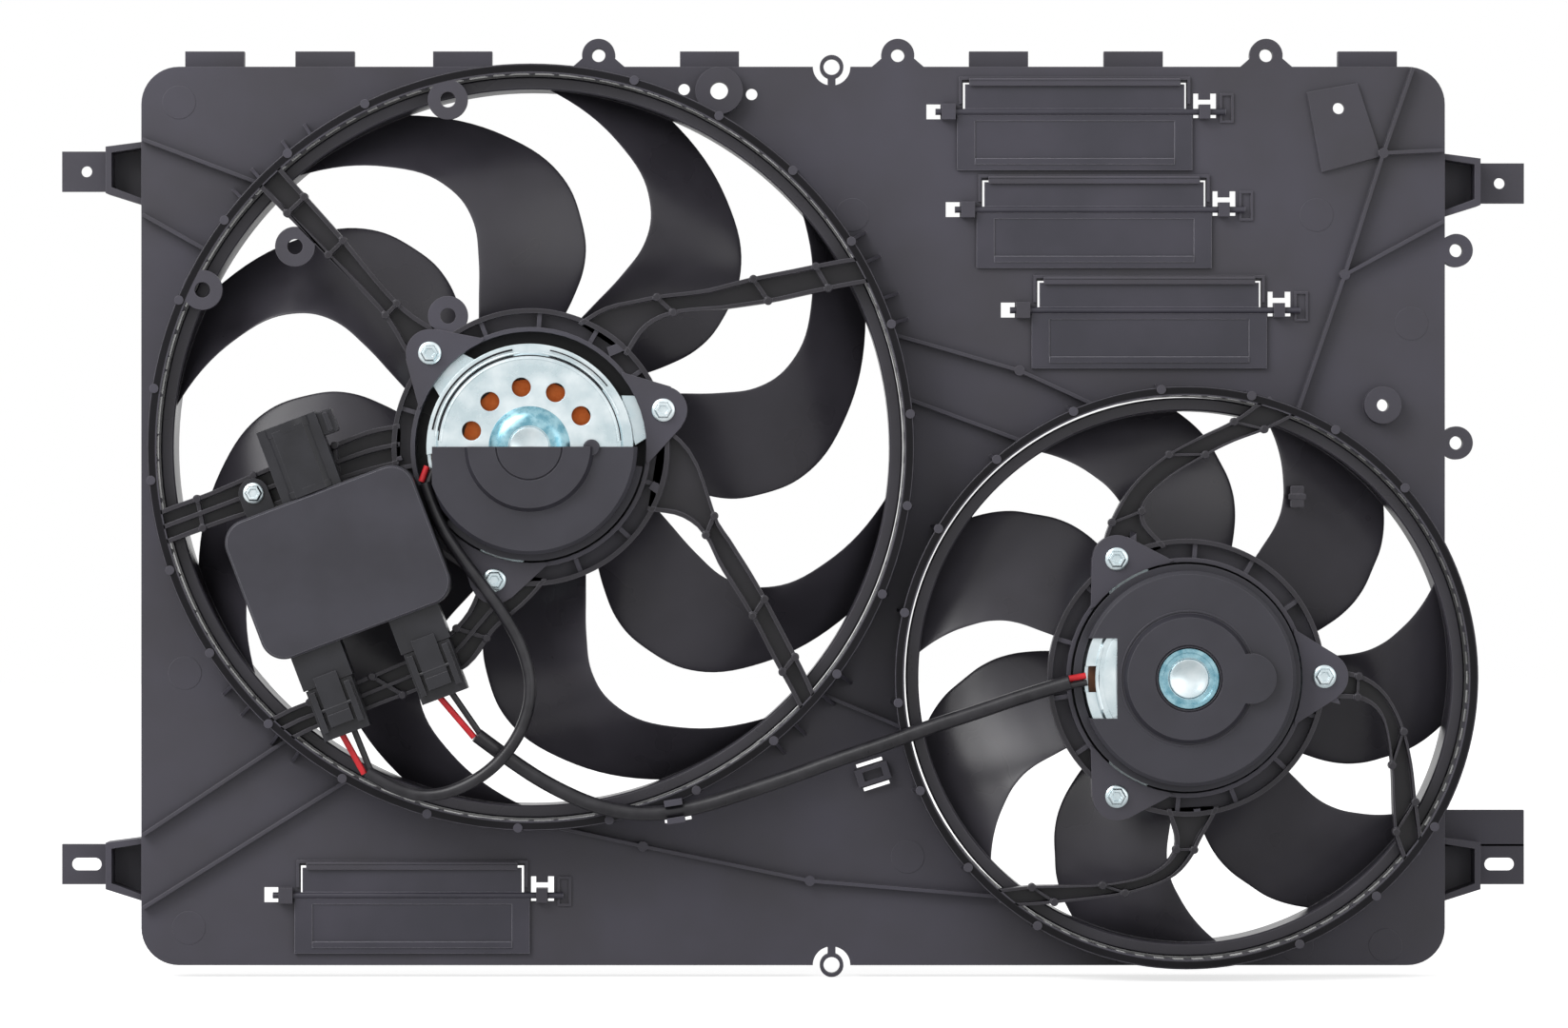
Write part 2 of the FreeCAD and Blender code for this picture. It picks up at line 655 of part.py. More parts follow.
def module_point(x, z):
    """A point of the turned control module in the shroud's own (x, z)."""
    turn = math.radians(mm("module_turn"))
    return (mm("module_x") + x * math.cos(turn) - z * math.sin(turn),
            mm("module_z") + x * math.sin(turn) + z * math.cos(turn))


def module_screw_place():
    return module_point(EAR_X, mm("module_height") / 2 + EAR_STAND)


def make_shroud():
    tray = make_tray()
    added, holes = edge_fixings()
    bosses, boss_holes = panel_bosses()
    pads, pad_holes = wiring_pads()
    added += bosses + pads + stiffeners()
    holes += boss_holes + pad_holes
    for name in FLAPS:
        seat, windows = flap_seat(name)
        added += seat
        holes += windows
    for fan in FANS:
        for arm in ARMS[fan]:
            added += arm_shapes(fan, *arm)
        added += carrier_shapes(fan)
        x, z = mm(fan + "_fan_x"), mm(fan + "_fan_z")
        holes.append(disc(x, z, mm("carrier_bore"), mm("arm_rear") - 1, mm("barrel_front") + 2))
        for angle in SCREW_ANGLES[fan]:
            seat = around(fan, mm("screw_circle_radius"), angle)
            holes.append(disc(*seat, mm("screw_hole_radius"), mm("arm_rear") - 1, mm("barrel_front") + 2))
    clips, clip_windows = lead_clips()
    added += clips
    holes += clip_windows
    x, z = module_screw_place()
    added.append(disc(x, z, 6.5, mm("arm_rear"), mm("barrel_front")))
    holes.append(disc(x, z, mm("screw_hole_radius"), mm("arm_rear") - 1, mm("barrel_front") + 2))
    details = feature_from("shroud_details", added[0].multiFuse(added[1:]))
    cutters = feature_from("shroud_cutters", Part.makeCompound(holes))
    whole = doc.addObject("Part::MultiFuse", "shroud_whole")
    whole.Shapes = [tray, details]
    trimmed = doc.addObject("Part::Cut", "shroud_trimmed")
    trimmed.Base, trimmed.Tool = whole, cutters
    locators = feature_from("locating_rings", Part.makeCompound(LOCATORS))
    shroud = doc.addObject("Part::MultiFuse", "shroud")
    shroud.Shapes = [trimmed, locators]
    shroud.Label = "shroud"
    return shroud


# ---- fans ---------------------------------------------------------------------------------

FIRST_BLADE = {"large": 95.5, "small": 38.8}
BLADE_CAMBER = 3.0
BLADES_AT = {  # share of the way from hub to band: sweep, half width (degrees) and half depth
    "large": ((0.0, 1.5, 21.5, 12.0), (0.11, 0.0, 19.0, 12.5), (0.33, -2.5, 15.2, 12.5), (0.55, -2.6, 13.3, 12.0),
              (0.76, 4.8, 11.6, 12.0), (1.0, 27.0, 11.4, 12.0)),
    "small": ((0.0, -1.0, 22.5, 12.0), (0.12, 0.0, 21.0, 12.5), (0.48, 3.9, 17.6, 12.0), (0.75, 9.6, 16.0, 11.5),
              (1.0, 18.0, 15.3, 11.5)),
}


def blade(fan):
    """One swept, cambered blade, rooted in the hub wall and the band and drawn about the Y axis."""
    inner = mm("hub_radius") - mm("hub_wall") / 2
    outer = mm(fan + "_barrel_radius") - mm("tip_gap") - mm("band_wall") / 2
    middle = (mm("band_rear") + mm("band_front")) / 2 - 0.5
    guide = Part.BSplineCurve()
    guide.interpolate(Points=[Vector(*station[1:]) for station in BLADES_AT[fan]],
                      Parameters=[station[0] for station in BLADES_AT[fan]])
    faces = []
    sheets = []
    for side in (-1, 1):
        rows = []
        for i in range(7):
            radius = inner + i / 6.0 * (outer - inner)
            swept = guide.value(i / 6.0)
            row = []
            for j in range(7):
                across = j / 3.0 - 1
                turn = math.radians(FIRST_BLADE[fan] + swept.x + across * swept.y)
                depth = middle + across * swept.z - BLADE_CAMBER * (1 - across ** 2)
                depth += side * mm("blade_thickness") / 2 * (1 - 0.6 * across ** 2)
                row.append(Vector(radius * math.cos(turn), -depth, radius * math.sin(turn)))
            rows.append(row)
        sheet = Part.BSplineSurface()
        sheet.interpolate(rows)
        sheets.append(sheet)
        faces.append(sheet.toShape())
    u0, u1, v0, v1 = sheets[0].bounds()
    for low, high in ((sheets[0].uIso(u0), sheets[1].uIso(u0)), (sheets[0].uIso(u1), sheets[1].uIso(u1)),
                      (sheets[0].vIso(v0), sheets[1].vIso(v0)), (sheets[0].vIso(v1), sheets[1].vIso(v1))):
        faces.append(Part.makeRuledSurface(low.toShape(), high.toShape()))
    shell = Part.makeShell(faces)
    shell.sewShape()
    solid = Part.makeSolid(shell)
    if solid.Volume < 0:
        solid.reverse()
    return solid


def centred_disc(radius, depth0, depth1):
    return disc(0, 0, radius, depth0, depth1)


def make_fan(fan):
    """Hub cup, ribs, bored boss, blades and the band that joins the blade tips."""
    hub, wall = mm("hub_radius"), mm("hub_wall")
    rear, front = mm("hub_rear"), mm("hub_front")
    band = mm(fan + "_barrel_radius") - mm("tip_gap")
    cup = centred_disc(hub, rear, front).cut(centred_disc(hub - wall, rear + wall, front + 1))
    cup = cup.fuse(centred_disc(hub - 10, rear - 2.5, rear + 1))
    ring = centred_disc(band, mm("band_rear"), mm("band_front"))
    ring = ring.cut(centred_disc(band - mm("band_wall"), mm("band_rear") - 1, mm("band_front") + 1))
    boss = centred_disc(mm("shaft_radius") + 5, rear - 2.5, mm("can_rear") - 6)
    shapes = [ring, boss]
    for i in range(8):
        rib = block(mm("shaft_radius") + 1, hub - 1, rear + 1, mm("can_rear") - 7.5, -0.9, 0.9)
        rib.rotate(Vector(0, 0, 0), Vector(0, 1, 0), i * 45)
        shapes.append(rib)
    first = blade(fan)
    for i in range(BLADES[fan]):
        copy = first.copy()
        copy.rotate(Vector(0, 0, 0), Vector(0, -1, 0), i * 360.0 / BLADES[fan])
        shapes.append(copy)
    whole = cup.multiFuse(shapes).cut(centred_disc(mm("shaft_radius"), 0, front))
    feature = feature_from(fan + "_fan", whole)
    feature.Placement.Base = Vector(mm(fan + "_fan_x"), 0, mm(fan + "_fan_z"))
    return feature


# ---- motors -------------------------------------------------------------------------------

LEAD_ANGLES = {"large": 191.7, "small": 180.5}
VENT_ANGLES = [31 + 33.4 * i + turn for turn in (0, 180) for i in range(5)]
BRUSH_ANGLES = (7.5, 187.5)
CAN_INNER = "(sizes.can_radius - sizes.can_wall)"


def polar_text(reach, across, angle):
    c, s = math.cos(math.radians(angle)), math.sin(math.radians(angle))
    return ("(%s) * %.6f - (%s) * %.6f" % (reach, c, across, s), "(%s) * %.6f + (%s) * %.6f" % (reach, s, across, c))


def notch_for_lead(body, fan, depth, length=None):
    """Cuts the rim where the motor's two wires enter."""
    notch = front_sketch(body, depth)
    angle = LEAD_ANGLES[fan]
    add_polygon(notch, [polar_text(reach, across, angle)
                        for reach, across in (("44.5", "-6.5"), ("60", "-6.5"), ("60", "6.5"), ("44.5", "6.5"))])
    pocket(body, notch, length)


def make_can(fan):
    """Drawn steel can with its rear bush seat and three lugs behind the carrier's ears."""
    body = fan_body(fan, "motor_can")
    floor = "sizes.can_rear + sizes.can_wall"
    seat = "sizes.bush_radius + sizes.can_wall"
    revolve(body, [
        ("sizes.can_rear - 5", "sizes.bush_radius"), ("sizes.can_rear - 5", seat), ("sizes.can_rear", seat),
        ("sizes.can_rear", "sizes.can_radius - 3"), ("sizes.can_rear + 3", "sizes.can_radius"),
        ("sizes.can_front", "sizes.can_radius"), ("sizes.can_front", CAN_INNER),
        ("sizes.can_rear + 4", CAN_INNER), (floor, CAN_INNER + " - 2.5"), (floor, seat),
        ("sizes.can_rear - 5 + sizes.bush_length", seat), ("sizes.can_rear - 5 + sizes.bush_length", "sizes.bush_radius"),
    ])
    rear = "sizes.arm_rear - 0.3 - sizes.mount_ear_wall"
    for angle in SCREW_ANGLES[fan]:
        root = "sizes.can_radius - 1"
        strap = front_sketch(body, rear)
        add_polygon(strap, [polar_text(root, "13", angle), polar_text(root, "-13", angle),
                            polar_text("sizes.screw_circle_radius", "-7.5", angle),
                            polar_text("sizes.screw_circle_radius", "7.5", angle)])
        pad(body, strap, "sizes.mount_ear_wall")
        eye = front_sketch(body, rear)
        add_circle(eye, *polar_text("sizes.screw_circle_radius", "0", angle), "7.5")
        pad(body, eye, "sizes.mount_ear_wall")
    holes = front_sketch(body, "sizes.arm_rear")
    for angle in SCREW_ANGLES[fan]:
        add_circle(holes, *polar_text("sizes.screw_circle_radius", "0", angle), "sizes.screw_radius + 0.05")
    pocket(body, holes, "sizes.mount_ear_wall + 1")
    notch_for_lead(body, fan, "sizes.can_front + 1", "6")
    return body


def make_end_plate(fan):
    """Zinc-plated end plate: flanged rim, dished face with vents, and a closed bush boss."""
    body = fan_body(fan, "motor_end_plate")
    rim, face = "sizes.can_front + sizes.plate_wall", "sizes.can_front + 2 + sizes.plate_wall"
    mouth = "sizes.boss_face - sizes.plate_wall - sizes.bush_length"
    revolve(body, [
        ("sizes.can_front", "sizes.can_radius"), (rim, "sizes.can_radius"), (rim, "sizes.can_radius - 4.7"),
        (face, "sizes.can_radius - 6"), (face, "sizes.boss_radius"), ("sizes.boss_face - 2", "sizes.boss_radius - 2.5"),
        ("sizes.boss_face", "sizes.boss_radius - 6"), ("sizes.boss_face", "0"),
        ("sizes.boss_face - sizes.plate_wall", "0"), ("sizes.boss_face - sizes.plate_wall", "sizes.bush_radius"),
        (mouth, "sizes.bush_radius"), (mouth, "sizes.bush_radius + sizes.plate_wall"),
        ("sizes.can_front + 2", "sizes.bush_radius + sizes.plate_wall"),
        ("sizes.can_front + 2", "sizes.can_radius - 7.3"), ("sizes.can_front", "sizes.can_radius - 6"),
    ])
    vents = front_sketch(body, face + " + 1")
    for angle in VENT_ANGLES:
        add_circle(vents, *polar_text("sizes.vent_circle_radius", "0", angle), "sizes.vent_radius")
    pocket(body, vents, "sizes.plate_wall + 2")
    notch_for_lead(body, fan, face + " + 1")
    return body


def make_cover(fan):
    """Moulded splash cover. The large motor's covers the lower half; the small one's has a window."""
    body = fan_body(fan, "motor_cover")
    skirt = "sizes.can_radius + sizes.cover_gap"
    outer = skirt + " + sizes.cover_wall"
    face = "sizes.can_front + 2 + sizes.plate_wall + sizes.cover_gap"
    crown = "sizes.boss_face + sizes.cover_gap"
    wall = "sizes.cover_wall"
    revolve(body, [
        ("sizes.can_front - 9", skirt), ("sizes.can_front - 9", outer), (face, outer),
        (face + " + " + wall, outer + " - " + wall), (face + " + " + wall, "32.5"),
        (crown + " + " + wall, "30.5"), (crown + " + " + wall, "16.9"), (crown + " + 1", "16.4"),
        (crown + " + " + wall, "15.9"), (crown + " + " + wall, "0"), (crown, "0"), (crown, "29.5"),
        (face, "31.5"), (face, skirt),
    ])
    if fan == "large":
        half = front_sketch(body, "sizes.boss_face + 9")
        add_polygon(half, [("-60", "0"), ("60", "0"), ("60", "60"), ("-60", "60")])
        pocket(body, half)
        notch = front_sketch(body, "sizes.boss_face + 9")
        add_polygon(notch, [("-60", "-33"), ("-43.2", "-33"), ("-48.5", "-19"), ("-48.5", "1"), ("-60", "1")])
        pocket(body, notch)
    else:
        lobe = front_sketch(body, face + " + 0.5")
        add_circle(lobe, "31", "0", "12.5")
        pad(body, lobe, crown + " + " + wall + " - (" + face + " + 0.5)")
        hollow = front_sketch(body, crown)
        add_circle(hollow, "0", "0", "29.5")
        pocket(body, hollow, crown + " - (" + face + ") + 0.5")
        eye = front_sketch(body, "sizes.boss_face + 9")
        add_circle(eye, "0", "0", "sizes.boss_radius - 4.4")
        pocket(body, eye)
        window = front_sketch(body, "sizes.boss_face + 9")
        add_polygon(window, [("-60", "-20"), ("-35.5", "-20"), ("-35.5", "20"), ("-60", "20")])
        pocket(body, window)
    return body


def sector(r0, r1, depth0, depth1, start, sweep):
    """Part of a ring about the Y axis, from one angle through another."""
    outer = Part.makeCylinder(r1, depth1 - depth0, Vector(0, -depth0, 0), Vector(0, -1, 0), sweep)
    ring = outer.cut(centred_disc(r0, depth0 - 1, depth1 + 1))
    ring.rotate(Vector(0, 0, 0), Vector(0, -1, 0), start)
    return ring


def tube(r0, r1, depth0, depth1):
    return centred_disc(r1, depth0, depth1).cut(centred_disc(r0, depth0 - 1, depth1 + 1))


def motor_feature(fan, name, shapes):
    feature = feature_from("%s_motor_%s" % (fan, name), shapes[0] if len(shapes) == 1 else Part.makeCompound(shapes))
    feature.Placement.Base = Vector(mm(fan + "_fan_x"), 0, mm(fan + "_fan_z"))
    return feature


def make_motor_insides(fan):
    inner = mm("can_radius") - mm("can_wall")
    shaft, clear = mm("shaft_radius"), mm("running_clearance")
    bush, long_ = mm("bush_radius"), mm("bush_length")
    front_mouth = mm("boss_face") - mm("plate_wall") - long_
    rear_mouth = mm("can_rear") - 5
    core0, core1 = mm("can_rear") + 7, mm("can_rear") + 27
    parts = []
    magnet0, magnet1 = core0 - 1.5, core1 + 1.5
    parts.append(motor_feature(fan, "magnets", [
        sector(inner - mm("magnet_thickness"), inner - 0.02, magnet0, magnet1, 90 * i + 10, 70) for i in range(4)]))
    card = tube(core_gap(), inner - 0.1, core1 + 8, core1 + 10)
    brushes = []
    for angle in BRUSH_ANGLES:
        arm = block(14, core_gap() + 1, core1 + 8, core1 + 10, -7, 7)
        holder = block(15, 24, core1 + 6, core1 + 12, -4.5, 4.5).cut(block(14, 25, core1 + 6.9, core1 + 11.1, -3, 3))
        brush = block(11.3, 20, core1 + 7, core1 + 11, -2.9, 2.9)
        for shape in (arm, holder, brush):
            shape.rotate(Vector(0, 0, 0), Vector(0, -1, 0), angle)
        card = card.fuse([arm.cut(brush_slot(angle, core1)), holder])
        brushes.append(brush)
    parts.append(motor_feature(fan, "brush_card", [card]))
    parts.append(motor_feature(fan, "brushes", brushes))
    parts.append(motor_feature(fan, "bushes", [tube(shaft + clear, bush - 0.02, rear_mouth, rear_mouth + long_),
                                               tube(shaft + clear, bush - 0.02, front_mouth, front_mouth + long_)]))
    parts.append(motor_feature(fan, "shaft", [centred_disc(shaft, mm("shaft_rear"), mm("shaft_front"))]))
    core = tube(shaft, mm("core_radius"), core0, core1)
    slots = []
    for i in range(12):
        slot = block(mm("core_radius") - 14, mm("core_radius") + 1, core0 - 1, core1 + 1, -1.6, 1.6)
        slot.rotate(Vector(0, 0, 0), Vector(0, -1, 0), i * 30)
        slots.append(slot)
    parts.append(motor_feature(fan, "armature", [core.cut(Part.makeCompound(slots))]))
    parts.append(motor_feature(fan, "windings", [tube(shaft + 9, mm("core_radius") - 2, core1, core1 + 6),
                                                 tube(shaft + 9, mm("core_radius") - 2, core0 - 4, core0)]))
    parts.append(motor_feature(fan, "commutator", [tube(shaft, 11, core1 + 0.2, core1 + 12)]))
    nut = mm("shaft_radius") + 3.2
    hexagon = [(nut * math.cos(math.radians(60 * i)), nut * math.sin(math.radians(60 * i))) for i in range(6)]
    nut_rear = mm("hub_rear") - 2.5 - 6.5
    parts.append(feature_on_fan(fan, "fan_nut", prism(hexagon, nut_rear, nut_rear + 6.5).cut(
        centred_disc(shaft, 0, 30))))
    return parts


def feature_on_fan(fan, name, shape):
    feature = feature_from("%s_%s" % (fan, name), shape)
    feature.Placement.Base = Vector(mm(fan + "_fan_x"), 0, mm(fan + "_fan_z"))
    return feature


def core_gap():
    return mm("core_radius") + 1


def brush_slot(angle, core1):
    slot = block(13, 25, core1 + 5, core1 + 13, -4.6, 4.6)
    slot.rotate(Vector(0, 0, 0), Vector(0, -1, 0), angle)
    return slot


def make_screws(fan):
    """Three flanged screws through the carrier's ears into the can's lugs."""
    seat = mm("barrel_front") + 1
    tip = mm("arm_rear") - 0.3 - mm("mount_ear_wall") - 0.2
    head, high = mm("screw_head_radius"), mm("screw_head_height")
    screws = []
    for angle in SCREW_ANGLES[fan]:
        turn = math.radians(angle)
        x, z = mm("screw_circle_radius") * math.cos(turn), mm("screw_circle_radius") * math.sin(turn)
        crown = Part.makeCone(head * 0.86, head * 0.62, high - 1.2, Vector(x, -seat - 1.2, z), Vector(0, -1, 0))
        socket = [(x + 2.3 * math.cos(math.radians(60 * i)), z + 2.3 * math.sin(math.radians(60 * i)))
                  for i in range(6)]
        screw = disc(x, z, head, seat, seat + 1.2).fuse([crown, disc(x, z, mm("screw_radius"), tip, seat)])
        screws.append(screw.cut(prism(socket, seat + high - 1.8, seat + high + 1)))
    return feature_on_fan(fan, "motor_screws", Part.makeCompound(screws))


def make_motor(fan):
    return [make_can(fan), make_end_plate(fan), make_cover(fan), make_screws(fan)] + make_motor_insides(fan)


# ---- control module -----------------------------------------------------------------------

SOCKETS = (("large_motor", -1), ("small_motor", 1))
CONNECTOR_WIDTH, CONNECTOR_REACH = 31.0, 38.0


def module_body(name):
    body = new_body(name)
    body.Placement.Rotation = FreeCAD.Rotation(Vector(0, -1, 0), mm("module_turn"))
    body.setExpression("Placement.Base.x", "sizes.module_x")
    body.setExpression("Placement.Base.z", "sizes.module_z")
    body.setExpression("Placement.Rotation.Angle", "sizes.module_turn")
    return body


def module_feature(name, shape):
    feature = feature_from(name, shape)
    turn = FreeCAD.Rotation(Vector(0, -1, 0), mm("module_turn"))
    feature.Placement = FreeCAD.Placement(Vector(mm("module_x"), 0, mm("module_z")), turn)
    return feature


def add_box(body, depth, length, left, bottom, right, top, radius=None, cut=False):
    sketch = front_sketch(body, depth)
    if radius:
        add_rounded_box(sketch, left, bottom, right, top, radius)
    else:
        add_polygon(sketch, [(left, bottom), (right, bottom), (right, top), (left, top)])
    return (pocket if cut else pad)(body, sketch, length)


def make_housing():
    """Module case: open tray, harness connector on top, two motor sockets below, one screw ear."""
    body = module_body("control_module_housing")
    half, high, wall = "(sizes.module_width / 2)", "(sizes.module_height / 2)", "sizes.module_wall"
    rear, deep = "sizes.module_rear", "sizes.module_depth"
    add_box(body, rear, deep, "-" + half, "-" + high, half, high, "sizes.module_corner")
    reach = "%s + %s" % (high, CONNECTOR_REACH)
    side = "%s" % (CONNECTOR_WIDTH / 2)
    add_box(body, rear + " + 2", "sizes.socket_depth", "-" + side, high + " - 2", side, reach)
    spine = front_sketch(body, rear + " + 2")
    foot = high + " + 0.4"
    add_polygon(spine, [("-8", foot), ("8", foot), ("8", reach + " - 3"), ("-8", reach + " - 3")])
    pad(body, spine, "sizes.socket_depth + 4")
    for _, direction in SOCKETS:
        centre = "(%d * sizes.socket_offset)" % direction
        add_box(body, rear + " + 1", "sizes.socket_depth", centre + " - sizes.socket_width / 2",
                "-" + high + " - sizes.socket_length", centre + " + sizes.socket_width / 2", "-" + high + " + 2")
        catch = "-" + high + " - sizes.socket_length + "
        add_box(body, rear + " + 0.5 + sizes.socket_depth", "1.8", centre + " - 4", catch + "0.1",
                centre + " + 4", catch + "1.8")
    ear_top = "%s + %s" % (high, EAR_STAND)
    ear = front_sketch(body, rear)
    add_circle(ear, str(EAR_X), ear_top, "7.5")
    pad(body, ear, "4")
    add_box(body, rear, "4", "%s - 7.5" % EAR_X, high + " - 2", "%s + 7.5" % EAR_X, ear_top)
    hole = front_sketch(body, rear + " + 5")
    add_circle(hole, str(EAR_X), ear_top, "sizes.screw_radius + 0.2")
    pocket(body, hole)
    add_box(body, rear + " + " + deep, deep + " - " + wall, "-%s + %s" % (half, wall), "-%s + %s" % (high, wall),
            "%s - %s" % (half, wall), "%s - %s" % (high, wall), "sizes.module_corner - " + wall, cut=True)
    return body


def bore_sockets(housing):
    """Opens the sockets and the harness connector along the module's height."""
    high, wall = mm("module_height") / 2, 1.8
    rear, deep = mm("module_rear"), mm("socket_depth")
    cavities = []
    for _, direction in SOCKETS:
        x, half = direction * mm("socket_offset"), mm("socket_width") / 2 - wall
        cavities.append(block(x - half, x + half, rear + 1 + wall, rear + 1 + deep - wall,
                              -high - mm("socket_length") - 1, -high - 1.5))
    half = CONNECTOR_WIDTH / 2 - wall
    cavities.append(block(-half, half, rear + 2 + wall, rear + 2 + deep - wall, high + 6, high + CONNECTOR_REACH + 1))
    cavities = module_feature("control_module_cavities", Part.makeCompound(cavities))
    bored = doc.addObject("Part::Cut", "control_module_case")
    bored.Base, bored.Tool = housing, cavities
    housing.Label = "control_module_case_blank"
    bored.Label = "control_module_housing"
    return bored


def make_module_cover():
    body = module_body("control_module_cover")
    half, high = "(sizes.module_width / 2)", "(sizes.module_height / 2)"
    front = "sizes.module_rear + sizes.module_depth"
    wall = "sizes.module_wall"
    add_box(body, front, "sizes.module_cover_wall", "-" + half, "-" + high, half, high, "sizes.module_corner")
    add_box(body, front + " - 2", "2.5", "-%s + %s + 0.3" % (half, wall), "-%s + %s + 0.3" % (high, wall),
            "%s - %s - 0.3" % (half, wall), "%s - %s - 0.3" % (high, wall), "sizes.module_corner - " + wall)
    doc.recompute()
    tip = body.Tip
    face_depth = mm("module_rear") + mm("module_depth") + mm("module_cover_wall")
    edges = ["Edge%d" % i for i, edge in enumerate(tip.Shape.Edges, 1)
             if all(abs(vertex.Point.y + face_depth) < 0.01 for vertex in edge.Vertexes)]
    rim = body.newObject("PartDesign::Chamfer", "control_module_cover_rim")
    rim.Base = (tip, edges)
    rim.Size = 1.0
    body.Tip = rim
    return body


def make_module_insides():
    half, high, wall = mm("module_width") / 2, mm("module_height") / 2, mm("module_wall")
    rear = mm("module_rear")
    board = block(-half + 6, half - 6, rear + wall + 6, rear + wall + 7.6, -high + 6, high - 6)
    posts = [block(x - 2, x + 2, rear + wall, rear + wall + 6, z - 2, z + 2)
             for x in (-half + 12, half - 12) for z in (-high + 12, high - 12)]
    parts = [module_feature("control_module_board", board.fuse(posts))]
    pins = []
    middle = rear + 1 + mm("socket_depth") / 2
    for _, direction in SOCKETS:
        for x in (-4.5, 4.5):
            x += direction * mm("socket_offset")
            pins.append(block(x - 1.4, x + 1.4, middle - 0.4, middle + 0.4, -high - 9, -high - 1.5))
    for x in (-9, -3, 3, 9):
        pins.append(block(x - 1.4, x + 1.4, middle + 0.6, middle + 1.4, high + 6, high + 18))
    parts.append(module_feature("control_module_pins", Part.makeCompound(pins)))
    x, z = EAR_X, high + EAR_STAND
    head = disc(x, z, 5.2, rear + 4, rear + 7).cut(prism(
        [(x + 2.2 * math.cos(math.radians(60 * i)), z + 2.2 * math.sin(math.radians(60 * i))) for i in range(6)],
        rear + 5.4, rear + 8))
    screw = head.fuse(disc(x, z, mm("screw_radius"), mm("arm_rear") + mm("arm_web") + 0.5, rear + 4))
    parts.append(module_feature("control_module_screw", screw))
    return parts


LATCH_PIVOT = 20.0
LATCH_HALF_WIDTH = 6.0


def latch_axis_depth():
    return mm("module_rear") + 1 + mm("socket_depth") + 2.6


def make_plug(motor, direction):
    """Female plug: a nose inside its socket, a body with two guards, and a pivoting latch lever."""
    high, rear = mm("module_height") / 2, mm("module_rear") + 1
    deep, fit = mm("socket_depth"), mm("plug_fit")
    x = direction * mm("socket_offset")
    mouth = -high - mm("socket_length")
    inner = mm("socket_width") / 2 - 1.8 - fit
    nose = block(x - inner, x + inner, rear + 1.8 + fit, rear + deep - 1.8 - fit, mouth - 1, -high - 9.5)
    half = mm("socket_width") / 2 - 1
    bottom = mouth - mm("plug_length") + 7
    shell = block(x - half, x + half, rear + 0.8, rear + deep - 0.6, bottom, mouth - 0.3)
    guards = [block(x + s * 9.2 - 1.4, x + s * 9.2 + 1.4, rear + deep - 1, rear + deep + 5, bottom + 4, mouth - 2)
              for s in (-1, 1)]
    pivot_z = mouth - 0.3 - (LATCH_PIVOT - 8)
    start = Vector(x - 15, -latch_axis_depth(), pivot_z)
    hole = Part.makeCylinder(1.2 + mm("pin_clearance"), 30, start, Vector(1, 0, 0))
    slots = [block(x + s * 4.5 - 1.6, x + s * 4.5 + 1.6, rear + deep / 2 - 0.6, rear + deep / 2 + 0.6,
                   -high - 12, -high - 7) for s in (-1, 1)]
    wire_holes = [disc_along_z(x + s * 3.2, rear + deep / 2, mm("wire_radius") + 0.7, bottom - 1, bottom + 4)
                  for s in (-1, 1)]
    body = nose.fuse([shell] + guards).cut(Part.makeCompound([hole] + slots + wire_holes))
    plug = module_feature(motor + "_plug", body)
    reach = latch_axis_depth()
    lever = block(x - LATCH_HALF_WIDTH, x + LATCH_HALF_WIDTH, reach - 1, reach + 1.1, pivot_z - 9, pivot_z + 17)
    thumb = block(x - LATCH_HALF_WIDTH, x + LATCH_HALF_WIDTH, reach + 0.5, reach + 2.4, pivot_z - 9, pivot_z - 3)
    hook = block(x - 4, x + 4, reach - 2.2, reach, pivot_z + 14.5, pivot_z + 17)
    pin = Part.makeCylinder(1.2, 21, Vector(x - 10.5, -reach, pivot_z), Vector(1, 0, 0))
    latch = module_feature(motor + "_plug_latch", lever.fuse([thumb, hook, pin]))
    return [plug, latch]


def disc_along_z(x, depth, radius, z0, z1):
    return Part.makeCylinder(radius, z1 - z0, Vector(x, -depth, z0), Vector(0, 0, 1))


# ---- relief flaps -------------------------------------------------------------------------

def make_flap(name):
    """A flap hung on its own pins above its middle: it falls shut and ram air swings it out."""
    left_name, _, hinge_name, _ = FLAPS[name]
    body = new_body(name, "sizes." + left_name, "sizes." + hinge_name)
    rear = "sizes.tray_depth + sizes.flap_rest_gap"
    wide = "sizes.flap_width"
    add_box(body, rear, "sizes.flap_wall", "0", "-sizes.flap_below", wide, "-1")
    add_box(body, rear, "sizes.flap_wall", "sizes.flap_inset", "-2", wide + " - sizes.flap_inset", "sizes.flap_above")
    axis = new_sketch(body, "YZ_Plane", "-%s" % PIN_LEFT)
    add_circle(axis, "-(%s + sizes.flap_wall / 2 + 0.8)" % rear, "0", "sizes.pin_radius")
    pad(body, axis, "%s + %s" % (wide, PIN_LEFT + PIN_RIGHT))
    front = rear + " + sizes.flap_wall"
    add_box(body, front, "0.7", "9", "-sizes.flap_below + 6", wide + " - 9", "-4.5", cut=True)
    add_box(body, front + " - 0.2", "0.9", "9", "-sizes.flap_below + 3", wide + " - 9", "-sizes.flap_below + 6")
    return body


# ---- motor leads --------------------------------------------------------------------------

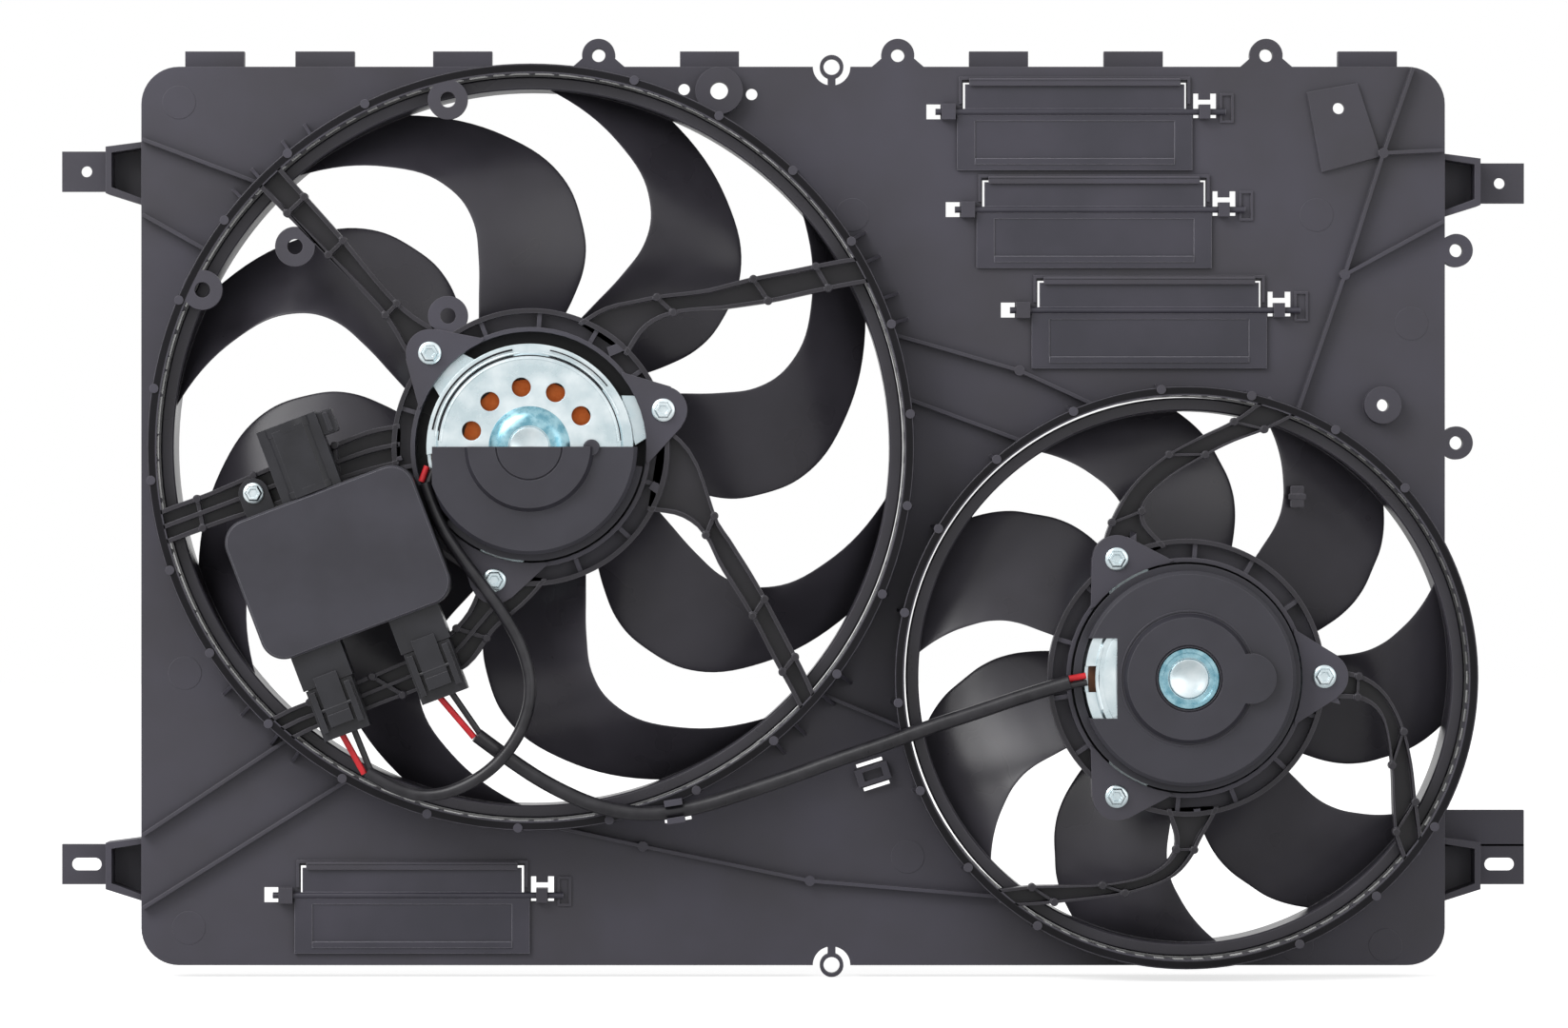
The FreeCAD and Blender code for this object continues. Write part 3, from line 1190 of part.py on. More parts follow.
# Route of each sleeve as (x, depth, z), from the large motor to its plug and from the plug to the small motor.
ROUTES = {
    "large": [
        (-184.0, 76.0, -156.0), (-178.0, 74.5, -174.5), (-167.5, 74.5, -191.0), (-155.5, 75.0, -206.5),
        (-144.0, 76.0, -222.0), (-134.5, 77.5, -239.0), (-130.0, 79.0, -258.0), (-134.0, 79.5, -277.0),
        (-144.5, 79.5, -293.5), (-159.5, 78.5, -305.5), (-178.0, 77.5, -312.5), (-196.5, 76.0, -310.5),
        (-212.5, 75.0, -300.5),
    ],
    "small": [
        (-158.0, 73.5, -282.0), (-138.5, 69.0, -297.0), (-118.0, 68.5, -309.5), (-95.5, 70.5, -319.0),
        (-71.5, 71.5, -322.0), (-47.0, 71.5, -318.0), (-24.0, 72.0, -310.5), (0.0, 72.0, -302.5),
        (22.5, 72.5, -294.0), (45.5, 73.0, -286.5), (68.0, 73.0, -278.0), (91.5, 73.5, -270.5),
        (114.5, 74.0, -262.5), (138.0, 75.5, -255.5),
    ],
}


def rounded_tube(points, radius, report):
    """A round tube along straight runs joined by tangent arcs as large as the runs allow."""
    places = [Vector(x, -depth, z) for x, depth, z in points]
    edges, cursor, radii = [], places[0], []
    for before, corner, after in zip(places, places[1:], places[2:]):
        back, forth = before - corner, after - corner
        turn = math.pi - back.getAngle(forth)
        reach = 0.45 * min(back.Length, forth.Length)
        radii.append(reach / math.tan(turn / 2))
        start = corner + back.normalize() * reach
        end = corner + forth.normalize() * reach
        towards = (back + forth).normalize()
        middle = corner + towards * (radii[-1] / math.cos(turn / 2) - radii[-1])
        edges += [Part.LineSegment(cursor, start).toShape(), Part.Arc(start, middle, end).toShape()]
        cursor = end
    edges.append(Part.LineSegment(cursor, places[-1]).toShape())
    path = Part.Wire(edges)
    circle = Part.Wire(Part.makeCircle(radius, places[0], places[1] - places[0]))
    solid = path.makePipeShell([circle], True, False)
    ideal = math.pi * radius ** 2 * path.Length
    print("%s: length %.1f, tightest arc %.1f, volume ratio %.4f"
          % (report, path.Length, min(radii) if radii else 0, solid.Volume / ideal))
    return solid


def wire(start, end, sleeve):
    """A bare conductor between a sleeve's end and a plug or motor."""
    a, b = Vector(start[0], -start[1], start[2]), Vector(end[0], -end[1], end[2])
    return Part.makeCylinder(mm("wire_radius"), (b - a).Length, a, b - a).cut(sleeve)


def beside(point, goal, across):
    """A place at a sleeve's end, to one side of the line from there to the goal (x, z)."""
    run = Vector(goal[0] - point[0], 0, goal[1] - point[2]).normalize()
    return (point[0] - run.z * across, point[1], point[2] + run.x * across)


def make_leads():
    parts = []
    for fan, direction in (("large", -1), ("small", 1)):
        route = ROUTES[fan]
        sleeve = rounded_tube(route, mm(fan + "_lead_radius"), fan + " lead")
        parts.append(feature_from(fan + "_motor_lead", sleeve))
        motor_end, plug_end = (route[0], route[-1]) if fan == "large" else (route[-1], route[0])
        reach = mm("can_radius") - 0.9
        centre = direction * mm("socket_offset")
        plug_depth = mm("module_rear") + 1 + mm("socket_depth") / 2
        plug_z = 8.2 - mm("module_height") / 2 - mm("socket_length") - mm("plug_length")
        goals = around(fan, reach, LEAD_ANGLES[fan]), module_point(centre, plug_z)
        for colour, side in (("red", 1), ("black", -1)):
            outlet = beside(motor_end, goals[0], 1.75 * side)
            inlet = (outlet[0] + goals[0][0] - motor_end[0], outlet[1], outlet[2] + goals[0][1] - motor_end[2])
            seal = module_point(centre - side * 3.2, plug_z)
            wires = [wire(outlet, inlet, sleeve),
                     wire(beside(plug_end, goals[1], 1.75 * side), (seal[0], plug_depth, seal[1]), sleeve)]
            parts.append(feature_from("%s_motor_%s_wire" % (fan, colour), Part.makeCompound(wires)))
    return parts


# ---- build --------------------------------------------------------------------------------

KEPT = [make_shroud()]
for fan in FANS:
    KEPT.append(make_fan(fan))
    KEPT += make_motor(fan)
KEPT.append(bore_sockets(make_housing()))
KEPT.append(make_module_cover())
KEPT += make_module_insides()
for motor, direction in SOCKETS:
    KEPT += make_plug(motor, direction)
KEPT += [make_flap(name) for name in FLAPS]
KEPT += make_leads()
doc.recompute()

for obj in doc.Objects:
    if {"Invalid", "Error"} & set(obj.State):
        raise RuntimeError("failed: %s %s" % (obj.Label, obj.State))
for obj in KEPT:
    if obj.Shape.isNull() or not obj.Shape.isValid():
        raise RuntimeError("bad shape: %s" % obj.Label)
os.makedirs("parts", exist_ok=True)
for obj in KEPT:
    obj.Shape.exportStep("parts/%s.step" % obj.Label)
    box = obj.Shape.BoundBox
    print("%-28s %d solids  %9.0f mm3  x %.1f..%.1f  depth %.1f..%.1f  z %.1f..%.1f" % (
        obj.Label, len(obj.Shape.Solids), obj.Shape.Volume, box.XMin, box.XMax, -box.YMax, -box.YMin,
        box.ZMin, box.ZMax))
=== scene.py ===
# Radiator fan shroud with two electric fans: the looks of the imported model.
# Lengths in the dictionaries are millimetres and angles degrees, unless a note says otherwise.
# Places are (x, z) or (x, depth, z); depth grows from the radiator side towards the engine.
import json
import math

import bmesh
import bpy
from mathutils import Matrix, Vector


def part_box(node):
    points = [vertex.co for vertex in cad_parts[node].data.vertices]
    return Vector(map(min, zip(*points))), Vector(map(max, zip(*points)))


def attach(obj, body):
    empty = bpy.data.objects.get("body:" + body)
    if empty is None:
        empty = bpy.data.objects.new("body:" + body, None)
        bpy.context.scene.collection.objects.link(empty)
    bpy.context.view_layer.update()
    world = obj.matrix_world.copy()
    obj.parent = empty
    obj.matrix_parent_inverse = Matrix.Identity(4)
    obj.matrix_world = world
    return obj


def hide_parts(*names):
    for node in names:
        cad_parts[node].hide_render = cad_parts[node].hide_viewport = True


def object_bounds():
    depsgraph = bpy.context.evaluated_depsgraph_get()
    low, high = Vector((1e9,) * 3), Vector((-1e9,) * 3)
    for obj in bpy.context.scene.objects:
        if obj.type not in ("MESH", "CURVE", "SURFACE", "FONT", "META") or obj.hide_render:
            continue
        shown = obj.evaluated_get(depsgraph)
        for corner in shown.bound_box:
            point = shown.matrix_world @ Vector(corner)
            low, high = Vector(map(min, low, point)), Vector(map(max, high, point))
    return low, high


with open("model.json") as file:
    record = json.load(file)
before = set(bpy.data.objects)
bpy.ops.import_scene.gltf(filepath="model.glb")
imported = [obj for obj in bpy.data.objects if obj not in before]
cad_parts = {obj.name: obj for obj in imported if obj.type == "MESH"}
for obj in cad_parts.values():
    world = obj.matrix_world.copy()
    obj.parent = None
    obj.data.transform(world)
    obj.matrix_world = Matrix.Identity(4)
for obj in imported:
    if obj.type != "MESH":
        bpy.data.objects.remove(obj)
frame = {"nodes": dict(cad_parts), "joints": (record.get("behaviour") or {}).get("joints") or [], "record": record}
cadBounds = [list(corner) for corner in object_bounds()]
mm = 0.001
fans = ("large", "small")
joints = {joint["name"]: joint for joint in frame["joints"]}
fanCentres = {fan: joints[fan + "_fan_spin"]["pos_m"][::2] for fan in fans}
print("frame loaded")


def addNode(tree, kind, inputs=None, **settings):
    # adds one node, sets its options and fills or links its inputs
    node = tree.nodes.new(kind)
    for name, value in settings.items():
        setattr(node, name, value)
    for key, value in (inputs or {}).items():
        if isinstance(value, bpy.types.NodeSocket):
            tree.links.new(value, node.inputs[key])
        else:
            node.inputs[key].default_value = value
    return node


def newObject(name, data):
    thing = bpy.data.objects.new(name, data)
    bpy.context.scene.collection.objects.link(thing)
    return thing


def hexColour(text):
    # sRGB hex to linear RGBA
    levels = [int(text[i:i + 2], 16) / 255 for i in (0, 2, 4)]
    return tuple(v / 12.92 if v <= 0.04045 else ((v + 0.055) / 1.055) ** 2.4 for v in levels) + (1.0,)


def newMaterial(name):
    material = bpy.data.materials.new(name)
    material.use_nodes = True
    material.node_tree.nodes.clear()
    return material


# camera, straight in front of the engine side
cameraPlan = {"distance": 3500.0, "frameWidth": 793.9, "panelDepth": 26.0, "aim": (-4.6, -171.5),
              "sensor": 36.0, "farEnd": 50000.0}
cameraData = bpy.data.cameras.new("camera")
cameraData.sensor_width = cameraPlan["sensor"]
cameraData.lens = cameraPlan["sensor"] * cameraPlan["distance"] / cameraPlan["frameWidth"]
cameraData.clip_end = cameraPlan["farEnd"] * mm
camera = newObject("camera", cameraData)
camera.location = (cameraPlan["aim"][0] * mm, -(cameraPlan["distance"] + cameraPlan["panelDepth"]) * mm,
                   cameraPlan["aim"][1] * mm)
camera.rotation_euler = (math.radians(90), 0, 0)
bpy.context.scene.camera = camera
bpy.context.scene.view_settings.view_transform = "Standard"


# cords: the two motor leads, with their routes' points from end to end
leadPlan = {
    "large": {"radius": 3.1, "length": 226.0, "points": [
        (-184.0, 76.0, -156.0), (-178.0, 74.5, -174.5), (-167.5, 74.5, -191.0), (-155.5, 75.0, -206.5),
        (-144.0, 76.0, -222.0), (-134.5, 77.5, -239.0), (-130.0, 79.0, -258.0), (-134.0, 79.5, -277.0),
        (-144.5, 79.5, -293.5), (-159.5, 78.5, -305.5), (-178.0, 77.5, -312.5), (-196.5, 76.0, -310.5),
        (-212.5, 75.0, -300.5)]},
    "small": {"radius": 3.8, "length": 317.0, "points": [
        (-158.0, 73.5, -282.0), (-138.5, 69.0, -297.0), (-118.0, 68.5, -309.5), (-95.5, 70.5, -319.0),
        (-71.5, 71.5, -322.0), (-47.0, 71.5, -318.0), (-24.0, 72.0, -310.5), (0.0, 72.0, -302.5),
        (22.5, 72.5, -294.0), (45.5, 73.0, -286.5), (68.0, 73.0, -278.0), (91.5, 73.5, -270.5),
        (114.5, 74.0, -262.5), (138.0, 75.5, -255.5)]},
}


def makeLead(fan, material):
    plan = leadPlan[fan]
    curve = bpy.data.curves.new(fan + "Lead", "CURVE")
    curve.dimensions = "3D"
    curve.bevel_depth = plan["radius"] * mm
    curve.bevel_resolution = 5
    curve.resolution_u = 10
    curve.use_fill_caps = True
    spline = curve.splines.new("NURBS")
    spline.points.add(len(plan["points"]) - 1)
    for point, (x, depth, z) in zip(spline.points, plan["points"]):
        point.co = (x * mm, -depth * mm, z * mm, 1)
    spline.order_u = 3
    spline.use_endpoint_u = True
    lead = newObject(fan + "Lead", curve)
    curve.materials.append(material)
    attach(lead, "shroud_assembly")
    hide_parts(fan + "_motor_lead")
    x, depth, z = plan["points"][0]


# a plastic's usual look, with a painted highlight on its edges and painted shade in its crannies, and what all
# surfaces share
usualPlastic = {"highlightAmount": 0.5, "paintedHighlight": "8a8790", "crannyShade": 0.55, "shine": 0.4}
surfacePlan = {"toneSpan": (0.35, 0.65), "roughSpan": (0.3, 0.7), "plasticSpread": 0.05, "metalSpread": 0.06,
               "metalEdge": 0.4, "grainDepth": 0.1, "edgeCosines": (0.99, 0.8), "crannyReach": 14.0,
               "openSky": (0.15, 0.75), "samples": 4}


def wanderingTone(tree, noise, look, spread):
    # a colour and a roughness that both wander with one noise
    tone = addNode(tree, "ShaderNodeValToRGB", {"Fac": noise})
    for element, place, shade in zip(tone.color_ramp.elements, surfacePlan["toneSpan"], ("dark", "light")):
        element.position = place
        element.color = hexColour(look[shade])
    low, high = surfacePlan["roughSpan"]
    rough = addNode(tree, "ShaderNodeMapRange", {
        "Value": noise, "From Min": low, "From Max": high, "To Min": look["roughness"] - spread,
        "To Max": look["roughness"] + spread})
    return tone.outputs["Color"], rough.outputs["Result"]


def plasticMaterial(name, look):
    # moulded plastic: slow drift of the pigment, spark-eroded grain, painted highlights on the edges and painted
    # shade in the crannies
    look = {**usualPlastic, **look}
    material = newMaterial(name)
    tree = material.node_tree
    samples = surfacePlan["samples"]
    place = addNode(tree, "ShaderNodeTexCoord").outputs["Object"]
    drift, grain = (addNode(tree, "ShaderNodeTexNoise", {
        "Vector": place, "Scale": 1 / (look[size] * mm), "Detail": detail}).outputs["Fac"]
        for size, detail in (("drift", 3.0), ("grain", 2.0)))
    tone, rough = wanderingTone(tree, drift, look, surfacePlan["plasticSpread"])
    edge = addNode(tree, "ShaderNodeBevel", {"Radius": look["edge"] * mm}, samples=samples).outputs["Normal"]
    bump = addNode(tree, "ShaderNodeBump", {
        "Height": grain, "Strength": look["bump"], "Distance": surfacePlan["grainDepth"] * mm,
        "Normal": edge})
    flat = addNode(tree, "ShaderNodeNewGeometry").outputs["Normal"]
    bend = addNode(tree, "ShaderNodeVectorMath", {0: edge, 1: flat}, operation="DOT_PRODUCT")
    level, sharp = surfacePlan["edgeCosines"]
    # painted highlight: where the rounded bevel normal leans away from the flat one, the colour is lightened
    # towards the highlight colour
    highlightAmount = addNode(tree, "ShaderNodeMapRange", {
        "Value": bend.outputs["Value"], "From Min": level, "From Max": sharp, "To Min": 0.0,
        "To Max": look["highlightAmount"]})
    paintedHighlight = addNode(tree, "ShaderNodeMix", {"Factor": highlightAmount.outputs["Result"], "A": tone,
                                           "B": hexColour(look["paintedHighlight"])}, data_type="RGBA")
    # painted shade: ambient occlusion darkens the colour in crannies and between parts
    sky = addNode(tree, "ShaderNodeAmbientOcclusion", {"Distance": surfacePlan["crannyReach"] * mm},
                  samples=samples)
    shut, clear = surfacePlan["openSky"]
    paintedShade = addNode(tree, "ShaderNodeMapRange", {
        "Value": sky.outputs["AO"], "From Min": shut, "From Max": clear, "To Min": look["crannyShade"],
        "To Max": 1.0})
    shade = addNode(tree, "ShaderNodeVectorMath", {
        0: paintedHighlight.outputs["Result"], "Scale": paintedShade.outputs["Result"]}, operation="SCALE")
    shader = addNode(tree, "ShaderNodeBsdfPrincipled", {
        "Base Color": shade.outputs["Vector"], "Roughness": rough, "IOR": 1.5,
        "Normal": bump.outputs["Normal"], "Specular IOR Level": look["shine"]})
    addNode(tree, "ShaderNodeOutputMaterial", {"Surface": shader.outputs["BSDF"]})
    return material


def metalMaterial(name, look):
    # metal with a mottled surface from its plating or drawing
    material = newMaterial(name)
    tree = material.node_tree
    place = addNode(tree, "ShaderNodeTexCoord").outputs["Object"]
    mottle = addNode(tree, "ShaderNodeTexNoise", {
        "Vector": place, "Scale": 1 / (look["mottle"] * mm), "Detail": 4.0})
    tone, rough = wanderingTone(tree, mottle.outputs["Fac"], look, surfacePlan["metalSpread"])
    edge = addNode(tree, "ShaderNodeBevel", {"Radius": surfacePlan["metalEdge"] * mm},
                   samples=surfacePlan["samples"])
    shader = addNode(tree, "ShaderNodeBsdfPrincipled", {
        "Base Color": tone, "Metallic": 1.0, "Roughness": rough, "Normal": edge.outputs["Normal"]})
    addNode(tree, "ShaderNodeOutputMaterial", {"Surface": shader.outputs["BSDF"]})
    return material


# drift and grain are the sizes of the slow and the fine pattern, edge the radius of the rounding; the other keys
# set the painted highlight on edges (its strength and colour) and the painted shade in crannies
looks = {
    # glass-filled nylon, moulded with a fine spark-eroded grain: dull dark grey, soft highlights
    "shroudNylon": {"dark": "413f46", "light": "484650", "roughness": 0.46, "drift": 60.0, "grain": 0.9,
                    "bump": 0.25, "edge": 0.5},
    # the same nylon off a polished ring of the tool: near black and glossy
    "polishedNylon": {"dark": "161518", "light": "1c1b1f", "roughness": 0.2, "drift": 60.0, "grain": 1.4,
                      "bump": 0.05, "edge": 0.6, "highlightAmount": 0.35, "crannyShade": 0.8, "shine": 0.15},
    # the same nylon on the motor arms: darker, with a stronger painted highlight along the rails' edges
    "armNylon": {"dark": "29272c", "light": "312f35", "roughness": 0.34, "drift": 30.0, "grain": 0.9,
                 "bump": 0.15, "edge": 0.6, "highlightAmount": 0.55, "paintedHighlight": "8d8a94"},
    # unfilled nylon of the relief flaps, lightly grained, a little bluer, with a strong painted highlight on its
    # edges
    "flapNylon": {"dark": "3a3942", "light": "43414b", "roughness": 0.36, "drift": 40.0, "grain": 0.9,
                  "bump": 0.15, "edge": 0.5, "highlightAmount": 0.8, "paintedHighlight": "b5b3bd"},
    # talc-filled nylon, polished tool: darker and smoother
    "fanNylon": {"dark": "36343a", "light": "3f3d44", "roughness": 0.3, "drift": 45.0, "grain": 1.2,
                 "bump": 0.12, "edge": 0.5},
    # PBT splash cover, moulded smooth satin
    "coverPlastic": {"dark": "35343b", "light": "3b3a42", "roughness": 0.42, "drift": 35.0, "grain": 0.8,
                     "bump": 0.15, "edge": 0.4},
    # glass-filled nylon of the control module's cover, fine grain and a strong painted highlight on its edges
    "moduleNylon": {"dark": "35343b", "light": "3c3b43", "roughness": 0.42, "drift": 30.0, "grain": 0.8,
                    "bump": 0.2, "edge": 0.5, "highlightAmount": 0.9, "paintedHighlight": "a9a7b0"},
    # black nylon of the plugs and sockets, moulded smooth
    "plugNylon": {"dark": "232327", "light": "2a2a2f", "roughness": 0.32, "drift": 15.0, "grain": 0.7,
                  "bump": 0.15, "edge": 0.3},
    # heat-shrunk polyolefin sleeve
    "shrinkSleeve": {"dark": "232226", "light": "302f33", "roughness": 0.32, "drift": 8.0, "grain": 1.5,
                     "bump": 0.3, "edge": 0.2},
    # extruded wire insulation, smooth
    "redPvc": {"dark": "c81f28", "light": "dd2a33", "roughness": 0.35, "drift": 6.0, "grain": 1.0,
               "bump": 0.05, "edge": 0.2},
    "blackPvc": {"dark": "242326", "light": "2c2b2e", "roughness": 0.35, "drift": 6.0, "grain": 1.0,
                 "bump": 0.05, "edge": 0.2},
    # sintered and ground: the magnets, and the carbon brushes
    "ferrite": {"dark": "3a3a3a", "light": "454443", "roughness": 0.7, "drift": 5.0, "grain": 0.8,
                "bump": 0.4, "edge": 0.3},
    # pressed phenolic of the brush card
    "phenolicBoard": {"dark": "6b4023", "light": "7b4b2b", "roughness": 0.4, "drift": 9.0, "grain": 0.9,
                      "bump": 0.1, "edge": 0.2},
    # green lacquer over the glass-epoxy board
    "solderMask": {"dark": "1f6b3a", "light": "267643", "roughness": 0.3, "drift": 9.0, "grain": 1.0,
                   "bump": 0.05, "edge": 0.2},
}
# mottle is the size of the pattern
metals = {
    # sheet steel, bright zinc plated: pale blue-white
    "zincSteel": {"dark": "cddde2", "light": "e6f0f3", "roughness": 0.3, "mottle": 12.0},
    # ground shafts, punched laminations, enamelled copper wire, sintered bearings
    "groundSteel": {"dark": "b4b5b6", "light": "c4c5c6", "roughness": 0.25, "mottle": 6.0},
    "laminatedSteel": {"dark": "7c7d7f", "light": "8b8c8e", "roughness": 0.45, "mottle": 3.0},
    "copperWire": {"dark": "b0562a", "light": "c56a38", "roughness": 0.35, "mottle": 3.0},
    "sinteredBronze": {"dark": "a07a42", "light": "b38c50", "roughness": 0.5, "mottle": 2.0},
    # blued chromate on the bush boss: teal over bright zinc
    "tealChromate": {"dark": "6fa3b4", "light": "a6ced9", "roughness": 0.28, "mottle": 5.0},
    # stamped contacts, tin plated
    "tinnedBrass": {"dark": "cfc8ba", "light": "ddd7cb", "roughness": 0.3, "mottle": 4.0},
}
materials = {name: plasticMaterial(name, look) for name, look in looks.items()}
materials.update({name: metalMaterial(name, look) for name, look in metals.items()})
for fan in fans:
    makeLead(fan, materials["shrinkSleeve"])
print("camera, materials and leads made")

slotMaterials = {
    "shroud_plastic": "shroudNylon", "fan_plastic": "fanNylon", "zinc_steel": "zincSteel",
    "cover_plastic": "coverPlastic", "ferrite": "ferrite", "phenolic": "phenolicBoard", "carbon": "ferrite",
    "bronze": "sinteredBronze", "shaft_steel": "groundSteel", "core_steel": "laminatedSteel",
    "copper": "copperWire", "plug_plastic": "plugNylon", "sleeve": "shrinkSleeve", "red_insulation": "redPvc",
    "black_insulation": "blackPvc", "module_plastic": "moduleNylon", "circuit_board": "solderMask",
    "tinned_contact": "tinnedBrass",
}
nodeMaterials = {"relief_flap_%d" % i: "flapNylon" for i in (1, 2, 3, 4)}
nodeMaterials["control_module_housing"] = "plugNylon"
for part in frame["record"]["subparts"]:
    for slot in frame["nodes"][part["node"]].material_slots:
        slot.material = materials[nodeMaterials.get(part["node"], slotMaterials[part["material_slot"]])]
print("parts painted")


def cubicThrough(places, values, at):
    # smooth value at a place, through (place, value) pairs in rising order of place
    last = len(places) - 1
    slopes = []
    for i in range(last + 1):
        low, high = max(i - 1, 0), min(i + 1, last)
        slopes.append((values[high] - values[low]) / (places[high] - places[low]))
    i = max(k for k in range(last) if places[k] <= at or k == 0)
    span = places[i + 1] - places[i]
    t = (at - places[i]) / span
    return ((1 + 2 * t) * (1 - t) ** 2 * values[i] + t * (1 - t) ** 2 * span * slopes[i]
            + t * t * (3 - 2 * t) * values[i + 1] + t * t * (t - 1) * span * slopes[i + 1])


def around(fan, radius, angle, depth):
    # a point at a radius (mm) and angle (degrees) about a fan's axis, in metres
    turn = math.radians(angle)
    x, z = fanCentres[fan]
    return Vector((x + radius * mm * math.cos(turn), -depth * mm, z + radius * mm * math.sin(turn)))


def addPiece(name, mesh, body, material, replaced=()):
    # links a finished mesh, paints it and ties it to its CAD body
    piece = newObject(name, mesh)
    if not mesh.materials:
        mesh.materials.append(materials[material])
    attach(piece, body)
    if replaced:
        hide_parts(*replaced)


def meshFrom(name, bm, sharp=35.0):
    # closes a bmesh into a mesh with smooth faces and sharp corners
    bmesh.ops.remove_doubles(bm, verts=bm.verts, dist=0.001 * mm)
    bmesh.ops.recalc_face_normals(bm, faces=bm.faces)
    mesh = bpy.data.meshes.new(name)
    bm.to_mesh(mesh)
    bm.free()
    mesh.shade_smooth()
    mesh.set_sharp_from_angle(angle=math.radians(sharp))
    return mesh


def addFixed(name, bm, material, replaced=()):
    # closes a bmesh into a piece that rides on the shroud
    addPiece(name, meshFrom(name, bm), "shroud_assembly", material, replaced)


def addTurned(bm, fan, outline, steps=180, start=0.0, sweep=360.0):
    # turns a closed outline of (depth, radius) corners about a fan's axis
    full = sweep == 360.0
    rows = []
    for i in range(steps if full else steps + 1):
        angle = start + i * sweep / steps
        rows.append([bm.verts.new(around(fan, radius, angle, depth)) for depth, radius in outline])
    count = len(outline)
    for i in range(steps):
        a, b = rows[i], rows[(i + 1) % len(rows)]
        for j in range(count):
            bm.faces.new((a[j], a[(j + 1) % count], b[(j + 1) % count], b[j]))
    if not full:
        bm.faces.new(rows[0])
        bm.faces.new(rows[-1])


def addRound(bm, x, z, outline, steps):
    # turns an open outline of (depth, radius) corners about a line along Y through (x, z) in metres
    rows = []
    for i in range(steps):
        right, up = math.cos(i * 2 * math.pi / steps), math.sin(i * 2 * math.pi / steps)
        rows.append([bm.verts.new((x + radius * mm * right, -depth * mm, z + radius * mm * up))
                     for depth, radius in outline])
    for i in range(steps):
        a, b = rows[i], rows[(i + 1) % steps]
        for j in range(len(outline) - 1):
            bm.faces.new((a[j], a[j + 1], b[j + 1], b[j]))


def shifted(outline, depth=0.0, radius=0.0):
    # an outline of (depth, radius) corners moved along and away from its axis
    return [(d + depth, r + radius) for d, r in outline]


def addSlab(bm, lows, highs, depth0, depth1):
    # a wall between two rows of (x, z) places in metres, from one depth to another
    rows = []
    for (x0, z0), (x1, z1) in zip(lows, highs):
        rows.append([bm.verts.new((x, -depth * mm, z)) for x, z, depth in
                     ((x0, z0, depth0), (x1, z1, depth0), (x1, z1, depth1), (x0, z0, depth1))])
    for a, b in zip(rows, rows[1:]):
        for j in range(4):
            bm.faces.new((a[j], a[(j + 1) % 4], b[(j + 1) % 4], b[j]))
    bm.faces.new(rows[0])
    bm.faces.new(rows[-1])


def growMesh(name, base, tree, inputs):
    # runs a node tree on a base mesh and hands back the result as a plain mesh
    seed = newObject(name + "Seed", base)
    modifier = seed.modifiers.new("grow", "NODES")
    modifier.node_group = tree
    for item in tree.interface.items_tree:
        if item.in_out == "INPUT" and item.name in inputs:
            modifier[item.identifier] = inputs[item.name]
    bpy.context.view_layer.update()
    mesh = bpy.data.meshes.new_from_object(seed.evaluated_get(bpy.context.evaluated_depsgraph_get()))
    bpy.data.objects.remove(seed)
    return mesh


def newTree(name, sizes):
    # an empty geometry tree with named number inputs
    tree = bpy.data.node_groups.new(name, "GeometryNodeTree")
    tree.interface.new_socket(name="Geometry", in_out="INPUT", socket_type="NodeSocketGeometry")
    tree.interface.new_socket(name="Geometry", in_out="OUTPUT", socket_type="NodeSocketGeometry")
    for size, value in sizes.items():
        socket = tree.interface.new_socket(name=size, in_out="INPUT", socket_type="NodeSocketFloat")
        socket.default_value = value
    return tree


def setCurve(node, pairs, low, high):
    # bends a float curve through (place, value) pairs, scaled from low..high to 0..1
    points = node.mapping.curves[0].points
    for point, (place, value) in zip((points[0], points[1]), (pairs[0], pairs[-1])):
        point.location = (place, (value - low) / (high - low))
    for place, value in pairs[1:-1]:
        points.new(place, (value - low) / (high - low))
    node.mapping.update()


# fans: swept blades of uneven spacing between a hub cup and a flanged band
# sweep and half are the blade's middle and half width in degrees along its share of the way out
fanPlan = {
    "hub": 64.0, "hubWall": 2.5, "hubRear": 16.0, "hubFront": 46.0, "hubCorner": 1.0, "noseHeight": 2.5,
    "noseRadii": (54.0, 57.0), "shaft": 4.0, "bossWall": 5.0, "bossFront": 29.0, "hubSteps": 96,
    "bandRear": 18.0, "bandFront": 50.0, "bandWall": 2.0, "bandFlange": 6.5, "flangeDepth": 2.5,
    "bandFlare": 1.5, "bandCorner": 0.8, "tipGap": 1.0, "thickness": 2.6, "camber": 3.0, "bladeShift": 0.5,
    "bladeCounts": (45, 41), "sweepSpan": (-10.0, 40.0), "halfSpan": (0.0, 30.0), "weld": 0.002,
    "large": {"barrel": 187.5, "turns": (0.6, 46.8, 90.2, 133.0, 179.0, 228.0, 270.6, 311.6),
              "sweep": ((0, 6.6), (0.15, 2), (0.31, 0), (0.48, 1.4), (0.65, 6.3), (0.82, 16.5), (1, 31)),
              "half": ((0, 18.4), (0.15, 17.2), (0.31, 15.5), (0.48, 13.1), (0.65, 12), (0.82, 11), (1, 10)),
              "rise": 12.3},
    "small": {"barrel": 141.5, "turns": (-8.2, 42.9, 93.8, 146.0, 194.7, 248.2, 301.3),
              "sweep": ((0, -4.6), (0.17, -4), (0.38, -2.5), (0.53, 0), (0.67, 3.5), (0.81, 7.1), (1, 13.5)),
              "half": ((0, 21.5), (0.17, 20.3), (0.38, 18.7), (0.53, 17.8), (0.67, 17.1), (0.81, 16.7),
                       (1, 15.6)),
              "rise": 12.1},
}


